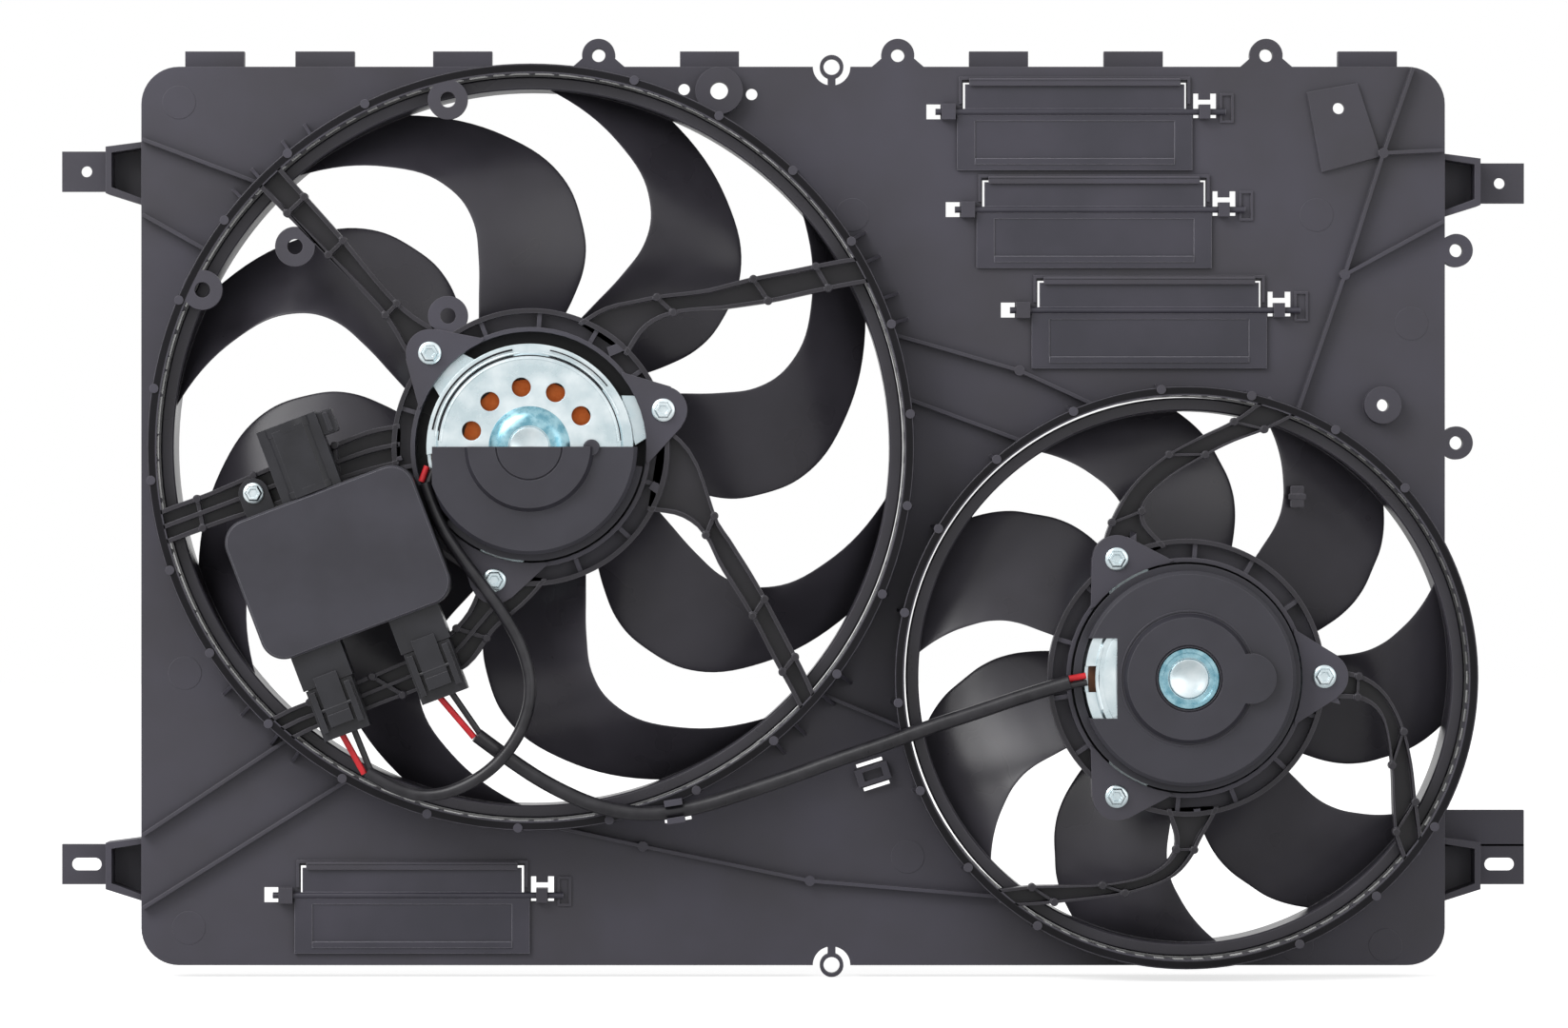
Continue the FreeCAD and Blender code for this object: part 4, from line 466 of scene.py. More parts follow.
def bladeTree(fan):
    # a grid rolled into a thin closed section, bent by two curves and set round the hub
    plan = fanPlan[fan]
    tree = newTree(fan + "BladeTree", {"rootRadius": 0.0, "tipRadius": 1.0, "middleDepth": 0.0, "rise": 1.0,
                                       "camber": 1.0, "thickness": 1.0})
    size = addNode(tree, "NodeGroupInput")
    along, about = fanPlan["bladeCounts"]
    grid = addNode(tree, "GeometryNodeMeshGrid", {"Size X": 1.0, "Size Y": 1.0, "Vertices X": along,
                                                  "Vertices Y": about})
    place = addNode(tree, "ShaderNodeSeparateXYZ", {0: addNode(tree, "GeometryNodeInputPosition").outputs[0]})
    share = addNode(tree, "ShaderNodeMath", {0: place.outputs["X"], 1: 0.5}, operation="ADD").outputs[0]
    roll = addNode(tree, "ShaderNodeMath", {0: place.outputs["Y"], 1: 2 * math.pi},
                   operation="MULTIPLY").outputs[0]
    waves = ("COSINE", "SINE")
    across, side = (addNode(tree, "ShaderNodeMath", {0: roll}, operation=wave).outputs[0] for wave in waves)
    angles = []
    for name in ("sweep", "half"):
        low, high = fanPlan[name + "Span"]
        curve = addNode(tree, "ShaderNodeFloatCurve", {"Value": share})
        setCurve(curve, plan[name], low, high)
        angles.append(addNode(tree, "ShaderNodeMapRange", {
            "Value": curve.outputs[0], "To Min": math.radians(low), "To Max": math.radians(high)}).outputs[0])
    turn = addNode(tree, "ShaderNodeMath", {0: across, 1: angles[1], 2: angles[0]},
                   operation="MULTIPLY_ADD").outputs[0]
    reach = addNode(tree, "ShaderNodeMapRange", {"Value": share, "To Min": size.outputs["rootRadius"],
                                                 "To Max": size.outputs["tipRadius"]}).outputs[0]
    square = addNode(tree, "ShaderNodeMath", {0: across, 1: across}, operation="MULTIPLY").outputs[0]
    bow = addNode(tree, "ShaderNodeMath", {0: 1.0, 1: square}, operation="SUBTRACT").outputs[0]
    hollow = addNode(tree, "ShaderNodeMath", {0: bow, 1: size.outputs["camber"]},
                     operation="MULTIPLY").outputs[0]
    slope = addNode(tree, "ShaderNodeMath", {
        0: across, 1: size.outputs["rise"], 2: size.outputs["middleDepth"]},
        operation="MULTIPLY_ADD").outputs[0]
    skin = addNode(tree, "ShaderNodeMath", {0: side, 1: size.outputs["thickness"]},
                   operation="MULTIPLY").outputs[0]
    bowed = addNode(tree, "ShaderNodeMath", {0: slope, 1: hollow}, operation="SUBTRACT").outputs[0]
    depth = addNode(tree, "ShaderNodeMath", {0: skin, 1: -0.5, 2: bowed}, operation="MULTIPLY_ADD").outputs[0]
    flat, tall = (addNode(tree, "ShaderNodeMath", {0: turn}, operation=wave).outputs[0] for wave in waves)
    x, y, z = (addNode(tree, "ShaderNodeMath", {0: a, 1: b}, operation="MULTIPLY").outputs[0]
               for a, b in ((reach, flat), (depth, -1.0), (reach, tall)))
    spot = addNode(tree, "ShaderNodeCombineXYZ", {"X": x, "Y": y, "Z": z})
    blade = addNode(tree, "GeometryNodeSetPosition", {"Geometry": grid.outputs["Mesh"],
                                                      "Position": spot.outputs[0]})
    closed = addNode(tree, "GeometryNodeMergeByDistance", {"Geometry": blade.outputs[0],
                                                           "Distance": fanPlan["weld"] * mm})
    heading = addNode(tree, "GeometryNodeInputNamedAttribute", {"Name": "heading"}, data_type="FLOAT")
    upright = addNode(tree, "ShaderNodeCombineXYZ", {"Y": heading.outputs[0]})
    turned = addNode(tree, "FunctionNodeEulerToRotation", {0: upright.outputs[0]})
    copies = addNode(tree, "GeometryNodeInstanceOnPoints", {
        "Points": size.outputs["Geometry"], "Instance": closed.outputs[0], "Rotation": turned.outputs[0]})
    solid = addNode(tree, "GeometryNodeRealizeInstances", {"Geometry": copies.outputs[0]})
    painted = addNode(tree, "GeometryNodeSetMaterial", {"Geometry": solid.outputs[0],
                                                        "Material": materials["fanNylon"]})
    addNode(tree, "NodeGroupOutput", {"Geometry": painted.outputs[0]})
    return tree


def makeFan(fan):
    plan = fanPlan[fan]
    rear, front, corner = fanPlan["bandRear"], fanPlan["bandFront"], fanPlan["bandCorner"]
    flange, flare = front - fanPlan["flangeDepth"], fanPlan["bandFlare"]
    tip = plan["barrel"] - fanPlan["tipGap"]
    inner = tip - fanPlan["bandFlange"]
    outer = inner + fanPlan["bandWall"]
    hub, wall, cupRear, cupFront = (fanPlan[name] for name in ("hub", "hubWall", "hubRear", "hubFront"))
    base = bpy.data.meshes.new(fan + "BladePlaces")
    base.from_pydata([around(fan, 0, 0, 0)] * len(plan["turns"]), [], [])
    heading = base.attributes.new("heading", "FLOAT", "POINT")
    for spot, angle in zip(heading.data, plan["turns"]):
        spot.value = -math.radians(angle)
    blades = growMesh(fan + "Blades", base, bladeTree(fan), {
        "rootRadius": (hub - wall / 2) * mm, "tipRadius": (outer - fanPlan["bandWall"] / 2) * mm,
        "middleDepth": ((rear + front) / 2 - fanPlan["bladeShift"]) * mm, "rise": plan["rise"] * mm,
        "camber": fanPlan["camber"] * mm, "thickness": fanPlan["thickness"] * mm})
    bm = bmesh.new()
    bm.from_mesh(blades)
    bmesh.ops.holes_fill(bm, edges=[edge for edge in bm.edges if edge.is_boundary])
    bmesh.ops.triangulate(bm, faces=[face for face in bm.faces if len(face.verts) > 4])
    addTurned(bm, fan, [(rear, inner), (rear, outer), (flange - flare, outer), (flange, outer + flare),
                        (flange, tip), (front - corner, tip), (front, tip - corner),
                        (front, inner + corner), (front - corner, inner)])
    nose, bossFront = cupRear - fanPlan["noseHeight"], fanPlan["bossFront"]
    noseTop, noseFoot = fanPlan["noseRadii"]
    shaft, boss, corner = fanPlan["shaft"], fanPlan["shaft"] + fanPlan["bossWall"], fanPlan["hubCorner"]
    addTurned(bm, fan, [(nose, shaft), (nose, noseTop), (cupRear, noseFoot), (cupRear, hub - corner),
                        (cupRear + corner, hub), (cupFront, hub), (cupFront, hub - wall),
                        (cupRear + wall, hub - wall), (cupRear + wall, boss), (bossFront, boss),
                        (bossFront, shaft)], fanPlan["hubSteps"])
    addPiece(fan + "Fan", meshFrom(fan + "Fan", bm), fan + "_fan", "fanNylon", [fan + "_fan"])


for fan in fans:
    makeFan(fan)
print("fans made")


# arms: rails that spread from the barrel (share 1) to the motor carrier (share 0)
# each arm has its stations of (share, low angle, high angle) and its number of rails
armPlan = {
    "rear": 53.0, "web": 2.5, "front": 64.0, "rail": 2.2, "carrier": 66.5, "ring": 69.5, "ringRise": 0.03,
    "ringSteps": 120, "barrelBite": 1.2, "overlap": 0.05, "steps": 28, "ribs": (0.26, 0.6, 0.84),
    "ribHalf": 0.008, "ribInset": 0.5, "ribDrop": 1.0, "knobSteps": 16,
    "knob": ((-6, 0), (-6, 2.1), (0.9, 2.1), (1.3, 1.6), (1.3, 0)),
    "large": [
        (((1, 25.9, 30.3), (0.765, 28.7, 34.0), (0.6, 31.2, 37.5), (0.44, 35.2, 41.5), (0.356, 38.5, 45.0),
          (0.274, 42.2, 49.7), (0.192, 45.0, 55.0), (0.11, 45.8, 61.8), (0, 43.5, 69.0)), 2),
        (((1, 131.8, 136.3), (0.6, 131.8, 136.9), (0.3, 132.4, 137.9), (0.2, 131.8, 139.6),
          (0.11, 129.8, 142.5), (0, 126.0, 146.0)), 2),
        (((1, 189.7, 194.9), (0.765, 187.7, 193.9), (0.5, 183.8, 192.8), (0.274, 179.3, 190.2),
          (0.11, 173.5, 188.5), (0, 170.0, 187.5)), 3),
        (((1, 226.1, 230.9), (0.89, 227.7, 233.1), (0.66, 233.1, 240.5), (0.51, 238.0, 247.5),
          (0.39, 243.0, 254.0), (0.205, 248.5, 259.7), (0.11, 249.5, 267.0), (0, 249.0, 277.0)), 3),
        (((1, 315.7, 319.0), (0.765, 319.0, 323.4), (0.6, 322.3, 327.4), (0.44, 325.8, 332.2),
          (0.356, 328.3, 335.3), (0.274, 332.1, 339.0), (0.2, 334.6, 346.5), (0.11, 334.9, 359.0),
          (0, 331.5, 370.0)), 2),
    ],
    "small": [
        (((1, 67.2, 75.2), (0.833, 72.4, 80.2), (0.702, 79.0, 87.6), (0.571, 86.3, 97.1), (0.44, 95.2, 105.9),
          (0.308, 103.0, 113.5), (0.177, 104.7, 121.0), (0, 99.0, 128.0)), 2),
        (((1, -40.2, -34.5), (0.833, -36.6, -27.7), (0.702, -30.5, -20.0), (0.571, -21.5, -11.6),
          (0.44, -11.5, -4.3), (0.308, -7.6, 0.2), (0.18, -7.4, 2.3), (0, -9.0, 4.0)), 2),
        (((1, 228.0, 233.2), (0.833, 233.4, 240.3), (0.702, 240.2, 247.3), (0.571, 249.6, 256.8),
          (0.44, 259.3, 266.3), (0.308, 265.0, 271.8), (0.177, 265.9, 275.8), (0, 261.5, 284.0)), 2),
    ],
}
# ears of the motor carriers, where the motors' screws sit
earPlan = {"circle": 69.0, "radius": 12.1, "large": (15.6, 137.0, 254.8), "small": (0.5, 120.5, 239.5)}


def armPoint(fan, stations, share, across, inset=0.0):
    # a place on an arm: share of the way out, share of the way from one rail to the other, inset in mm
    rising = stations[::-1]
    shares = [station[0] for station in rising]
    reach = armPlan["carrier"] + share * (fanPlan[fan]["barrel"] + armPlan["barrelBite"] - armPlan["carrier"])
    low, high = (around(fan, reach, cubicThrough(shares, [station[k] for station in rising], share), 0)
                 for k in (1, 2))
    spot = low + (high - low) * across + (high - low).normalized() * inset * mm
    return (spot.x, spot.z)


def makeArms(fan):
    bm = bmesh.new()
    rear, front, rail, steps = (armPlan[name] for name in ("rear", "front", "rail", "steps"))
    overlap, half, inset = armPlan["overlap"], armPlan["ribHalf"], armPlan["ribInset"]
    shares = [i / steps for i in range(steps + 1)]
    for stations, rails in armPlan[fan]:
        addSlab(bm, [armPoint(fan, stations, s, 0) for s in shares],
                [armPoint(fan, stations, s, 1) for s in shares], rear, rear + armPlan["web"])
        for i in range(rails):
            across = i / (rails - 1)
            addSlab(bm, [armPoint(fan, stations, s, across, -across * rail) for s in shares],
                    [armPoint(fan, stations, s, across, (1 - across) * rail) for s in shares],
                    rear + overlap, front)
        for share in armPlan["ribs"]:
            low = [armPoint(fan, stations, share + step, 0, inset) for step in (-half, half)]
            high = [armPoint(fan, stations, share + step, 1, -inset) for step in (-half, half)]
            addSlab(bm, low, high, rear + 2 * overlap, front - armPlan["ribDrop"])
            for across, middle in ((0, rail / 2), (1, -rail / 2)):
                x, z = armPoint(fan, stations, share, across, middle)
                addRound(bm, x, z, shifted(armPlan["knob"], front), armPlan["knobSteps"])
    inner, outer = armPlan["ring"] - rail - 2 * overlap, armPlan["ring"] + 2 * overlap
    top = front + armPlan["ringRise"]
    addTurned(bm, fan, [(rear, inner), (rear, outer), (top, outer), (top, inner)], armPlan["ringSteps"])
    addFixed(fan + "MotorArms", bm, "armNylon")


# shell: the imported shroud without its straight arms, which run from a carrier to its barrel
# the wiring pads, the module's screw boss and the ears with their roots stay
shellPlan = {"armDepth": 52.5, "padDepth": 59.5, "padRadius": 10.1, "bossRadius": 6.6, "inner": 69.6,
             "barrelMargin": 0.2, "rootReach": 22.0, "rootRadius": 76.5, "weld": 0.01, "sharp": 30.0,
             "pads": ((179.0, 103.4), (155.0, 139.6), (182.3, 154.4), (77.7, 122.2))}


def boxMiddle(node):
    # the middle of a node's box, seen along the depth
    low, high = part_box(node)
    return Vector(((low.x + high.x) / 2, 0, (low.z + high.z) / 2))


def isOldArm(middle, pads, boss, ears):
    # whether a face with this middle is part of a straight arm
    spot = Vector((middle.x, 0, middle.z))
    nearPad = any((spot - pad).length < shellPlan["padRadius"] * mm for pad in pads)
    if -middle.y < shellPlan["armDepth"] * mm or nearPad and -middle.y > shellPlan["padDepth"] * mm:
        return False
    if (spot - boss).length < shellPlan["bossRadius"] * mm:
        return False
    for fan in fans:
        reach = (spot - around(fan, 0, 0, 0)).length / mm
        if shellPlan["inner"] < reach < fanPlan[fan]["barrel"] - shellPlan["barrelMargin"]:
            rootReach = shellPlan["rootReach"] if reach < shellPlan["rootRadius"] else earPlan["radius"]
            return not any((spot - ear).length < rootReach * mm for ear in ears[fan])
    return False


def makeShroud():
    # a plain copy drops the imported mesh's own normals, so that it shades smoothly once it is cut
    source = frame["nodes"]["shroud"].data
    plain = bpy.data.meshes.new("shroudCopy")
    plain.from_pydata([vert.co for vert in source.vertices], [],
                      [face.vertices[:] for face in source.polygons])
    bm = bmesh.new()
    bm.from_mesh(plain)
    bmesh.ops.remove_doubles(bm, verts=bm.verts, dist=shellPlan["weld"] * mm)
    ears = {fan: [around(fan, earPlan["circle"], angle, 0) for angle in earPlan[fan]] for fan in fans}
    pads = [around("large", reach, angle, 0) for reach, angle in shellPlan["pads"]]
    boss = boxMiddle("control_module_screw")
    gone = [face for face in bm.faces if isOldArm(face.calc_center_median(), pads, boss, ears)]
    bmesh.ops.delete(bm, geom=gone, context="FACES")
    bmesh.ops.holes_fill(bm, edges=[edge for edge in bm.edges if edge.is_boundary])
    mesh = bpy.data.meshes.new("shroudShell")
    bm.to_mesh(mesh)
    bm.free()
    mesh.shade_smooth()
    mesh.set_sharp_from_angle(angle=math.radians(shellPlan["sharp"]))
    addPiece("shroudShell", mesh, "shroud_assembly", "shroudNylon", ["shroud"])


# polished lip at a barrel's mouth: corners of (depth, distance outside the bore)
rimOutline = ((50.0, -0.05), (50.0, 1.0), (60.9, 1.0), (60.9, 4.3), (61.3, 4.7), (63.4, 4.7), (64.06, 4.1),
              (64.06, 0.7), (63.5, -0.05))


def makeRim(fan):
    bm = bmesh.new()
    addTurned(bm, fan, shifted(rimOutline, 0.0, fanPlan[fan]["barrel"]))
    addFixed(fan + "BarrelRim", bm, "polishedNylon")


makeShroud()
for fan in fans:
    makeArms(fan)
    makeRim(fan)
print("shroud and arms made")


def addBlock(bm, x0, x1, depth0, depth1, z0, z1, place=None):
    # a box from millimetre limits; place turns (x, depth, z) into a point where the box isn't square
    corners = [bm.verts.new(place(x, d, z) if place else (x * mm, -d * mm, z * mm))
               for x in (x0, x1) for d in (depth0, depth1) for z in (z0, z1)]
    for face in ((0, 1, 3, 2), (4, 6, 7, 5), (0, 4, 5, 1), (2, 3, 7, 6), (0, 2, 6, 4), (1, 5, 7, 3)):
        bm.faces.new([corners[i] for i in face])


def bevelled(bm, width):
    # rounds every edge of the boxes made so far
    bmesh.ops.recalc_face_normals(bm, faces=bm.faces)
    bmesh.ops.bevel(bm, geom=list(bm.edges), offset=width * mm, segments=2, affect="EDGES")


# studs: knobs along the barrels' rims and faint ejector marks on the panel
studPlan = {"rimCount": {"large": 26, "small": 20}, "rimStart": 5.0, "rimReach": 3.4, "knobRadius": 2.3,
            "knobDepths": (56.0, 65.0), "markRadius": 8.5, "markDepths": (25.0, 26.18), "sides": 24,
            "marks": ((-311, 37), (-308, -252), (-306, -381), (313, -75), (58, -345), (255, -390),
                      (300, -390), (30, -20), (265, -20)),
            "edge": 322.0, "bottom": -392.0, "top": 46.0}


def studTree():
    # an upright round post on every point of the base mesh
    tree = newTree("studTree", {"radius": 1.0, "length": 1.0})
    size = addNode(tree, "NodeGroupInput")
    post = addNode(tree, "GeometryNodeMeshCylinder", {
        "Vertices": studPlan["sides"], "Radius": size.outputs["radius"], "Depth": size.outputs["length"]})
    upright = addNode(tree, "FunctionNodeEulerToRotation", {0: (math.pi / 2, 0, 0)})
    copies = addNode(tree, "GeometryNodeInstanceOnPoints", {
        "Points": size.outputs["Geometry"], "Instance": post.outputs["Mesh"], "Rotation": upright.outputs[0]})
    solid = addNode(tree, "GeometryNodeRealizeInstances", {"Geometry": copies.outputs[0]})
    painted = addNode(tree, "GeometryNodeSetMaterial", {"Geometry": solid.outputs[0],
                                                        "Material": materials["shroudNylon"]})
    addNode(tree, "NodeGroupOutput", {"Geometry": painted.outputs[0]})
    return tree


def makeStuds():
    tree = studTree()
    rims = []
    low, high = studPlan["knobDepths"]
    for fan, count in studPlan["rimCount"].items():
        for i in range(count):
            spot = around(fan, fanPlan[fan]["barrel"] + studPlan["rimReach"],
                          i * 360 / count + studPlan["rimStart"], (low + high) / 2)
            # none where the barrel runs past the tray
            across, up = spot.x / mm, spot.z / mm
            if abs(across) < studPlan["edge"] and studPlan["bottom"] < up < studPlan["top"]:
                rims.append(spot)
    marks = [(x * mm, -sum(studPlan["markDepths"]) / 2 * mm, z * mm) for x, z in studPlan["marks"]]
    for name, places, radius, depths in (("rimKnobs", rims, "knobRadius", "knobDepths"),
                                         ("ejectorMarks", marks, "markRadius", "markDepths")):
        base = bpy.data.meshes.new(name + "Places")
        base.from_pydata(places, [], [])
        low, high = studPlan[depths]
        mesh = growMesh(name, base, tree, {"radius": studPlan[radius] * mm, "length": (high - low) * mm})
        addPiece(name, mesh, "shroud_assembly", "shroudNylon")


makeStuds()


# trim on the shroud: a lip with its wall over each flap, and the taller foot of one bracket
trimPlan = {"pinReach": 11.0, "flapWidth": 119.0, "lipInset": 6.0, "flapAbove": 14.0, "panelDepth": 25.5,
            "lipDepths": (29.4, 30.6), "wallHeights": (1.3, 3.0), "lipHeights": (-1.0, 2.0),
            "bracket": (331.5, 372.5, 0.05, 3.0, -341.0, -322.3), "corner": 0.25}


def makeTrim():
    bm = bmesh.new()
    lipRear, lipFront = trimPlan["lipDepths"]
    for name, joint in joints.items():
        if not name.startswith("relief_flap"):
            continue
        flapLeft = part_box(joint["child"])[0].x / mm + trimPlan["pinReach"]
        left, right = flapLeft + trimPlan["lipInset"], flapLeft + trimPlan["flapWidth"] - trimPlan["lipInset"]
        edge = joint["pos_m"][2] / mm + trimPlan["flapAbove"]
        for rear, (low, high) in ((trimPlan["panelDepth"], trimPlan["wallHeights"]),
                                  (lipRear, trimPlan["lipHeights"])):
            addBlock(bm, left, right, rear, lipFront, edge + low, edge + high)
    addBlock(bm, *trimPlan["bracket"])
    bevelled(bm, trimPlan["corner"])
    addFixed("shroudTrim", bm, "shroudNylon")


makeTrim()
print("studs and trim made")


# screws: a round flange and a recessed hexagon, as corners of (height over the seat, radius)
screwPlan = {"flangeSteps": 40, "shankSteps": 20, "shank": 2.5, "shankBite": 0.1,
             "motor": {"seat": 65.0, "rear": 50.2,
                       "flange": ((0, 0), (0, 5.8), (0.8, 5.8), (1.3, 5.2), (1.4, 4.4), (1.4, 0)),
                       "hexagon": ((1.2, 0), (1.2, 4.6), (3.1, 4.4), (3.6, 3.8), (3.6, 2.5), (1.9, 2.3),
                                   (1.9, 0))},
             "module": {"seat": 68.3,
                        "flange": ((0, 2.5), (0, 5.2), (1.0, 5.2), (1.4, 4.4), (1.4, 0)),
                        "hexagon": ((1.2, 0), (1.2, 4.3), (2.4, 4.1), (2.9, 3.6), (2.9, 2.4), (1.6, 2.2),
                                    (1.6, 0))}}


def addScrewHead(bm, x, z, plan, shank=()):
    # shank corners, where there are any, lead on to the flange's outline
    addRound(bm, x, z, [*shank, *shifted(plan["flange"], plan["seat"])], screwPlan["flangeSteps"])
    addRound(bm, x, z, shifted(plan["hexagon"], plan["seat"]), 6)


# motor dress: corners of (depth, radius); steps are (inner radius, outer radius, start, sweep)
motorPlan = {
    "large": {"bossRing": ((84.62, 10.5), (84.62, 14.1), (82.7, 17.9), (80.0, 20.3), (79.6, 20.1),
                           (82.3, 17.2), (84.2, 13.6), (84.2, 10.5)),
              "brimTurn": (60, 222.0, 128.0),
              "steps": ((43.6, 44.6, 3, 174), (46.6, 47.6, 96, 78), (46.6, 47.6, 20, 62))},
    "small": {"bossRing": ((84.0, 10.4), (84.7, 10.4), (84.7, 12.6), (85.1, 13.0), (85.1, 15.0),
                           (84.0, 15.4)),
              "brimTurn": (120,),
              "steps": ((34.0, 42.6, 152, 56), (44.8, 46.4, 160, 40))},
    "bossDome": ((84.55, 0.05), (84.55, 7.2), (85.3, 8.4), (85.3, 9.6), (84.55, 10.2), (84.3, 10.2),
                 (84.3, 0.05)),
    "brim": ((67.0, 52.7), (67.0, 56.9), (68.2, 56.9), (68.2, 52.7)),
    "coverBead": ((81.9, 32.9), (82.35, 33.2), (82.35, 34.0), (81.9, 34.3)),
    "studPlace": (31.0, -0.5), "stud": ((80.2, 0), (80.2, 4.2), (83.6, 4.2), (84.2, 3.6), (84.2, 0)),
    "stepDepths": (79.3, 80.0, 80.12), "stepCorner": 0.4, "shadowLineDepths": (77.7, 79.95),
    "shadowLines": ((45.3, 45.9, 4, 172), (48.6, 49.5, 100, 70), (48.9, 49.5, 38, 40)),
    "ringSteps": 96, "domeSteps": 72, "beadSteps": 120, "studSteps": 32, "stepSteps": 60, "shadowLineSteps": 72}


def makeBoss(fan):
    # the blued ring and the bright dome over the rear bush
    bm = bmesh.new()
    addTurned(bm, fan, motorPlan[fan]["bossRing"], motorPlan["ringSteps"])
    addFixed(fan + "BossRing", bm, "tealChromate")
    bm = bmesh.new()
    addTurned(bm, fan, motorPlan["bossDome"], motorPlan["domeSteps"])
    addFixed(fan + "BossDome", bm, "zincSteel")


def makePlateSteps(fan):
    # raised arcs pressed in the end plate
    bm = bmesh.new()
    rear, side, top = motorPlan["stepDepths"]
    corner = motorPlan["stepCorner"]
    for inside, outside, start, sweep in motorPlan[fan]["steps"]:
        addTurned(bm, fan, [(rear, inside), (rear, outside), (side, outside), (top, outside - corner),
                            (top, inside + corner), (side, inside)], motorPlan["stepSteps"], start, sweep)
    addFixed(fan + "PlateSteps", bm, "zincSteel")


def makeCoverTrim(fan):
    # the cover's brim, with a bead on the small cover and a stud on the large one
    bm = bmesh.new()
    addTurned(bm, fan, motorPlan["brim"], *motorPlan[fan]["brimTurn"])
    if fan == "small":
        addTurned(bm, fan, motorPlan["coverBead"], motorPlan["beadSteps"])
    else:
        x, z = fanCentres[fan]
        right, up = motorPlan["studPlace"]
        addRound(bm, x + right * mm, z + up * mm, motorPlan["stud"], motorPlan["studSteps"])
    addFixed(fan + "CoverTrim", bm, "coverPlastic")


def makeMotorScrews(fan):
    bm = bmesh.new()
    plan, shank = screwPlan["motor"], screwPlan["shank"]
    top = plan["seat"] + screwPlan["shankBite"]
    for angle in earPlan[fan]:
        spot = around(fan, earPlan["circle"], angle, 0)
        addScrewHead(bm, spot.x, spot.z, plan)
        addRound(bm, spot.x, spot.z, [(plan["rear"], 0), (plan["rear"], shank), (top, shank), (top, 0)],
                 screwPlan["shankSteps"])
    addFixed(fan + "Screws", bm, "zincSteel", [fan + "_motor_screws"])


def makeShadowLines():
    # painted shadow lines: near-black arcs along the crimped rim of the large motor's end plate
    bm = bmesh.new()
    rear, top = motorPlan["shadowLineDepths"]
    for inside, outside, start, sweep in motorPlan["shadowLines"]:
        addTurned(bm, "large", [(rear, inside), (rear, outside), (top, outside), (top, inside)],
                  motorPlan["shadowLineSteps"], start, sweep)
    addFixed("plateShadowLines", bm, "polishedNylon")


makeShadowLines()
for fan in fans:
    makeBoss(fan)
    makePlateSteps(fan)
    makeCoverTrim(fan)
    makeMotorScrews(fan)
print("motors dressed")


# control module, turned in the panel's plane: the round harness connector and its latch tab
# spans are (start, end, growth) along the connector; latch blocks are limits across, in depth and along it
modulePlan = {"turn": 20.7, "centre": (-226.5, -195.5), "tube": 11.5, "depth": 84.0, "swell": 6.1,
              "steps": 24,
              "spans": ((37.0, 74.1, 0.0), (69.5, 74.3, 0.5), (37.0, 40.5, 0.5)),
              "latch": ((14.5, 23.5, 72.0, 83.0, 61.5, 73.5), (18.5, 21.0, 80.0, 86.0, 62.5, 72.5)),
              "latchCorner": 0.5}


def modulePoint(x, depth, z):
    # a point in metres from millimetres along the module's own sides
    turn = math.radians(modulePlan["turn"])
    middleX, middleZ = modulePlan["centre"]
    return ((middleX + x * math.cos(turn) - z * math.sin(turn)) * mm, -depth * mm,
            (middleZ + x * math.sin(turn) + z * math.cos(turn)) * mm)


def makeConnector():
    bm = bmesh.new()
    tube, depth, swell, steps = (modulePlan[name] for name in ("tube", "depth", "swell", "steps"))
    arc = [(math.cos(i * math.pi / steps), math.sin(i * math.pi / steps)) for i in range(steps + 1)]
    for start, end, grow in modulePlan["spans"]:
        near, far = ([bm.verts.new(modulePoint((tube + grow) * across, depth + (swell + grow) * rise, z))
                      for across, rise in arc] for z in (start, end))
        for i in range(steps):
            bm.faces.new((near[i], near[i + 1], far[i + 1], far[i]))
        bm.faces.new((near[0], far[0], far[-1], near[-1]))
        bm.faces.new(near)
        bm.faces.new(far)
    boxes = bmesh.new()
    for limits in modulePlan["latch"]:
        addBlock(boxes, *limits, modulePoint)
    bevelled(boxes, modulePlan["latchCorner"])
    tab = bpy.data.meshes.new("connectorTab")
    boxes.to_mesh(tab)
    boxes.free()
    bm.from_mesh(tab)
    addFixed("harnessConnector", bm, "plugNylon")


def makeModuleScrew():
    spot = boxMiddle("control_module_screw")
    rear, shank = -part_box("control_module_screw")[1].y / mm, screwPlan["shank"]
    bm = bmesh.new()
    addScrewHead(bm, spot.x, spot.z, screwPlan["module"], ((rear, 0), (rear, shank)))
    addFixed("moduleScrew", bm, "zincSteel", ["control_module_screw"])


makeConnector()
makeModuleScrew()


# balance clip on a blade of the small fan, with a cross bar on top
clipPlan = {"radius": 107.0, "angle": 58.0, "halfSize": (3.5, 5.5), "depths": (40.5, 47.5),
            "barHalfSize": (4.5, 1.5), "barDepths": (46.5, 48.1), "corner": 0.4}


def makeClip():
    middle = around("small", clipPlan["radius"], clipPlan["angle"], 0)
    x, z = middle.x / mm, middle.z / mm
    bm = bmesh.new()
    for (wide, tall), depths in ((clipPlan["halfSize"], clipPlan["depths"]),
                                 (clipPlan["barHalfSize"], clipPlan["barDepths"])):
        addBlock(bm, x - wide, x + wide, *depths, z - tall, z + tall)
    bevelled(bm, clipPlan["corner"])
    addPiece("balanceClip", meshFrom("balanceClip", bm), "small_fan", "fanNylon")


makeClip()
print("connector and clip made")


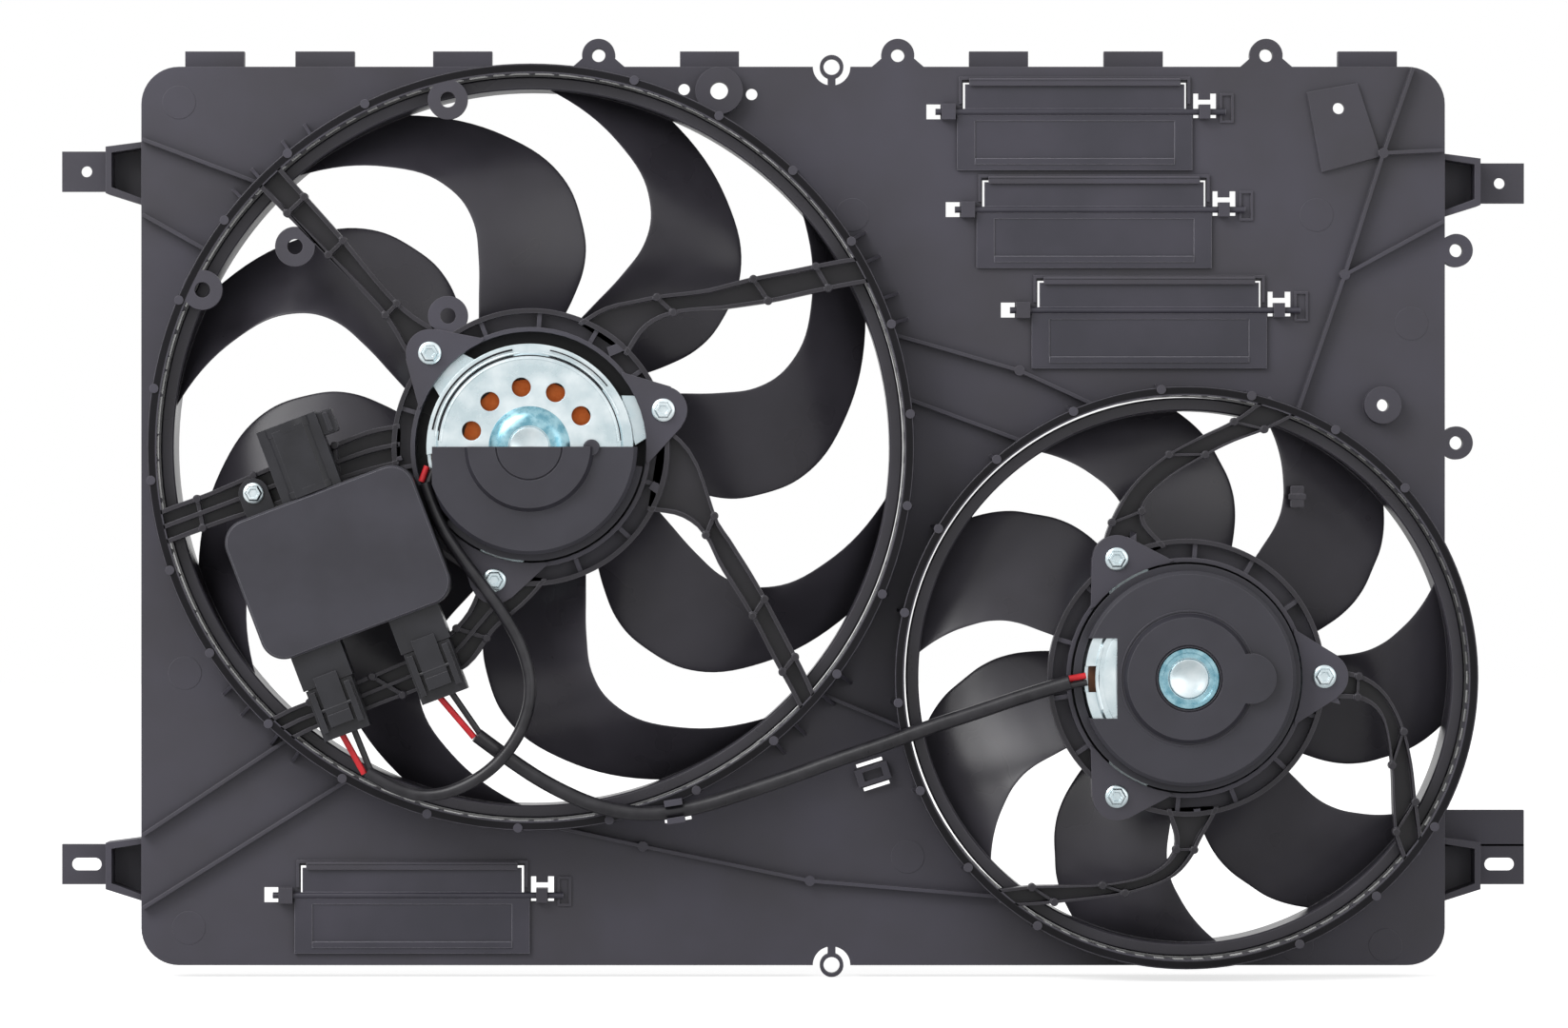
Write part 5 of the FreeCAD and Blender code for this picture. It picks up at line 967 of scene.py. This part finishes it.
# light: a white studio, a large soft lamp at the upper left and a weak one at the right; in metres
lightPlan = {"world": 0.44, "aim": (0, 0, -0.17), "size": 1.6,
             "lamps": {"keyLamp": ((-1.5, -1.7, 1.4), 44.0), "fillLamp": ((1.6, -2.4, 0.2), 8.0)}}
world = bpy.data.worlds.new("studio")
bpy.context.scene.world = world
world.use_nodes = True
worldTree = world.node_tree
worldTree.nodes.clear()
rays = addNode(worldTree, "ShaderNodeLightPath")
seen = addNode(worldTree, "ShaderNodeMath", {0: rays.outputs["Is Camera Ray"],
                                             1: rays.outputs["Is Glossy Ray"]}, operation="MAXIMUM")
strength = addNode(worldTree, "ShaderNodeMapRange", {
    "Value": seen.outputs[0], "To Min": lightPlan["world"], "To Max": 1.0})
backdrop = addNode(worldTree, "ShaderNodeBackground", {"Color": (1, 1, 1, 1),
                                                       "Strength": strength.outputs["Result"]})
addNode(worldTree, "ShaderNodeOutputWorld", {"Surface": backdrop.outputs["Background"]})


def addLamp(name, place, watts):
    lamp = bpy.data.lights.new(name, "AREA")
    lamp.energy = watts
    lamp.size = lightPlan["size"]
    holder = newObject(name, lamp)
    holder.location = place
    holder.rotation_euler = (Vector(lightPlan["aim"]) - Vector(place)).to_track_quat("-Z", "Y").to_euler()


for name, (place, watts) in lightPlan["lamps"].items():
    addLamp(name, place, watts)


# floor just under the part, glowing only for the camera
floorPlan = {"half": 6000.0, "drop": 0.2, "colour": "f4f4f4", "glow": 0.75}
floorMesh = bpy.data.meshes.new("floor")
floorZ = cadBounds[0][2] - floorPlan["drop"] * mm
half = floorPlan["half"] * mm
corners = ((-half, -half), (half, -half), (half, half), (-half, half))
floorMesh.from_pydata([(x, y, floorZ) for x, y in corners], [], [(0, 1, 2, 3)])
floor = newObject("floor", floorMesh)
floorPaint = newMaterial("paleFloor")
floorTree = floorPaint.node_tree
floorRays = addNode(floorTree, "ShaderNodeLightPath")
floorSheen = addNode(floorTree, "ShaderNodeBsdfDiffuse", {"Color": hexColour(floorPlan["colour"])})
floorGlow = addNode(floorTree, "ShaderNodeEmission", {"Color": (1, 1, 1, 1), "Strength": floorPlan["glow"]})
floorSum = addNode(floorTree, "ShaderNodeAddShader", {0: floorSheen.outputs[0], 1: floorGlow.outputs[0]})
floorPick = addNode(floorTree, "ShaderNodeMixShader", {0: floorRays.outputs["Is Camera Ray"],
                                                       1: floorSheen.outputs[0], 2: floorSum.outputs[0]})
addNode(floorTree, "ShaderNodeOutputMaterial", {"Surface": floorPick.outputs[0]})
floorMesh.materials.append(floorPaint)
print("studio made")
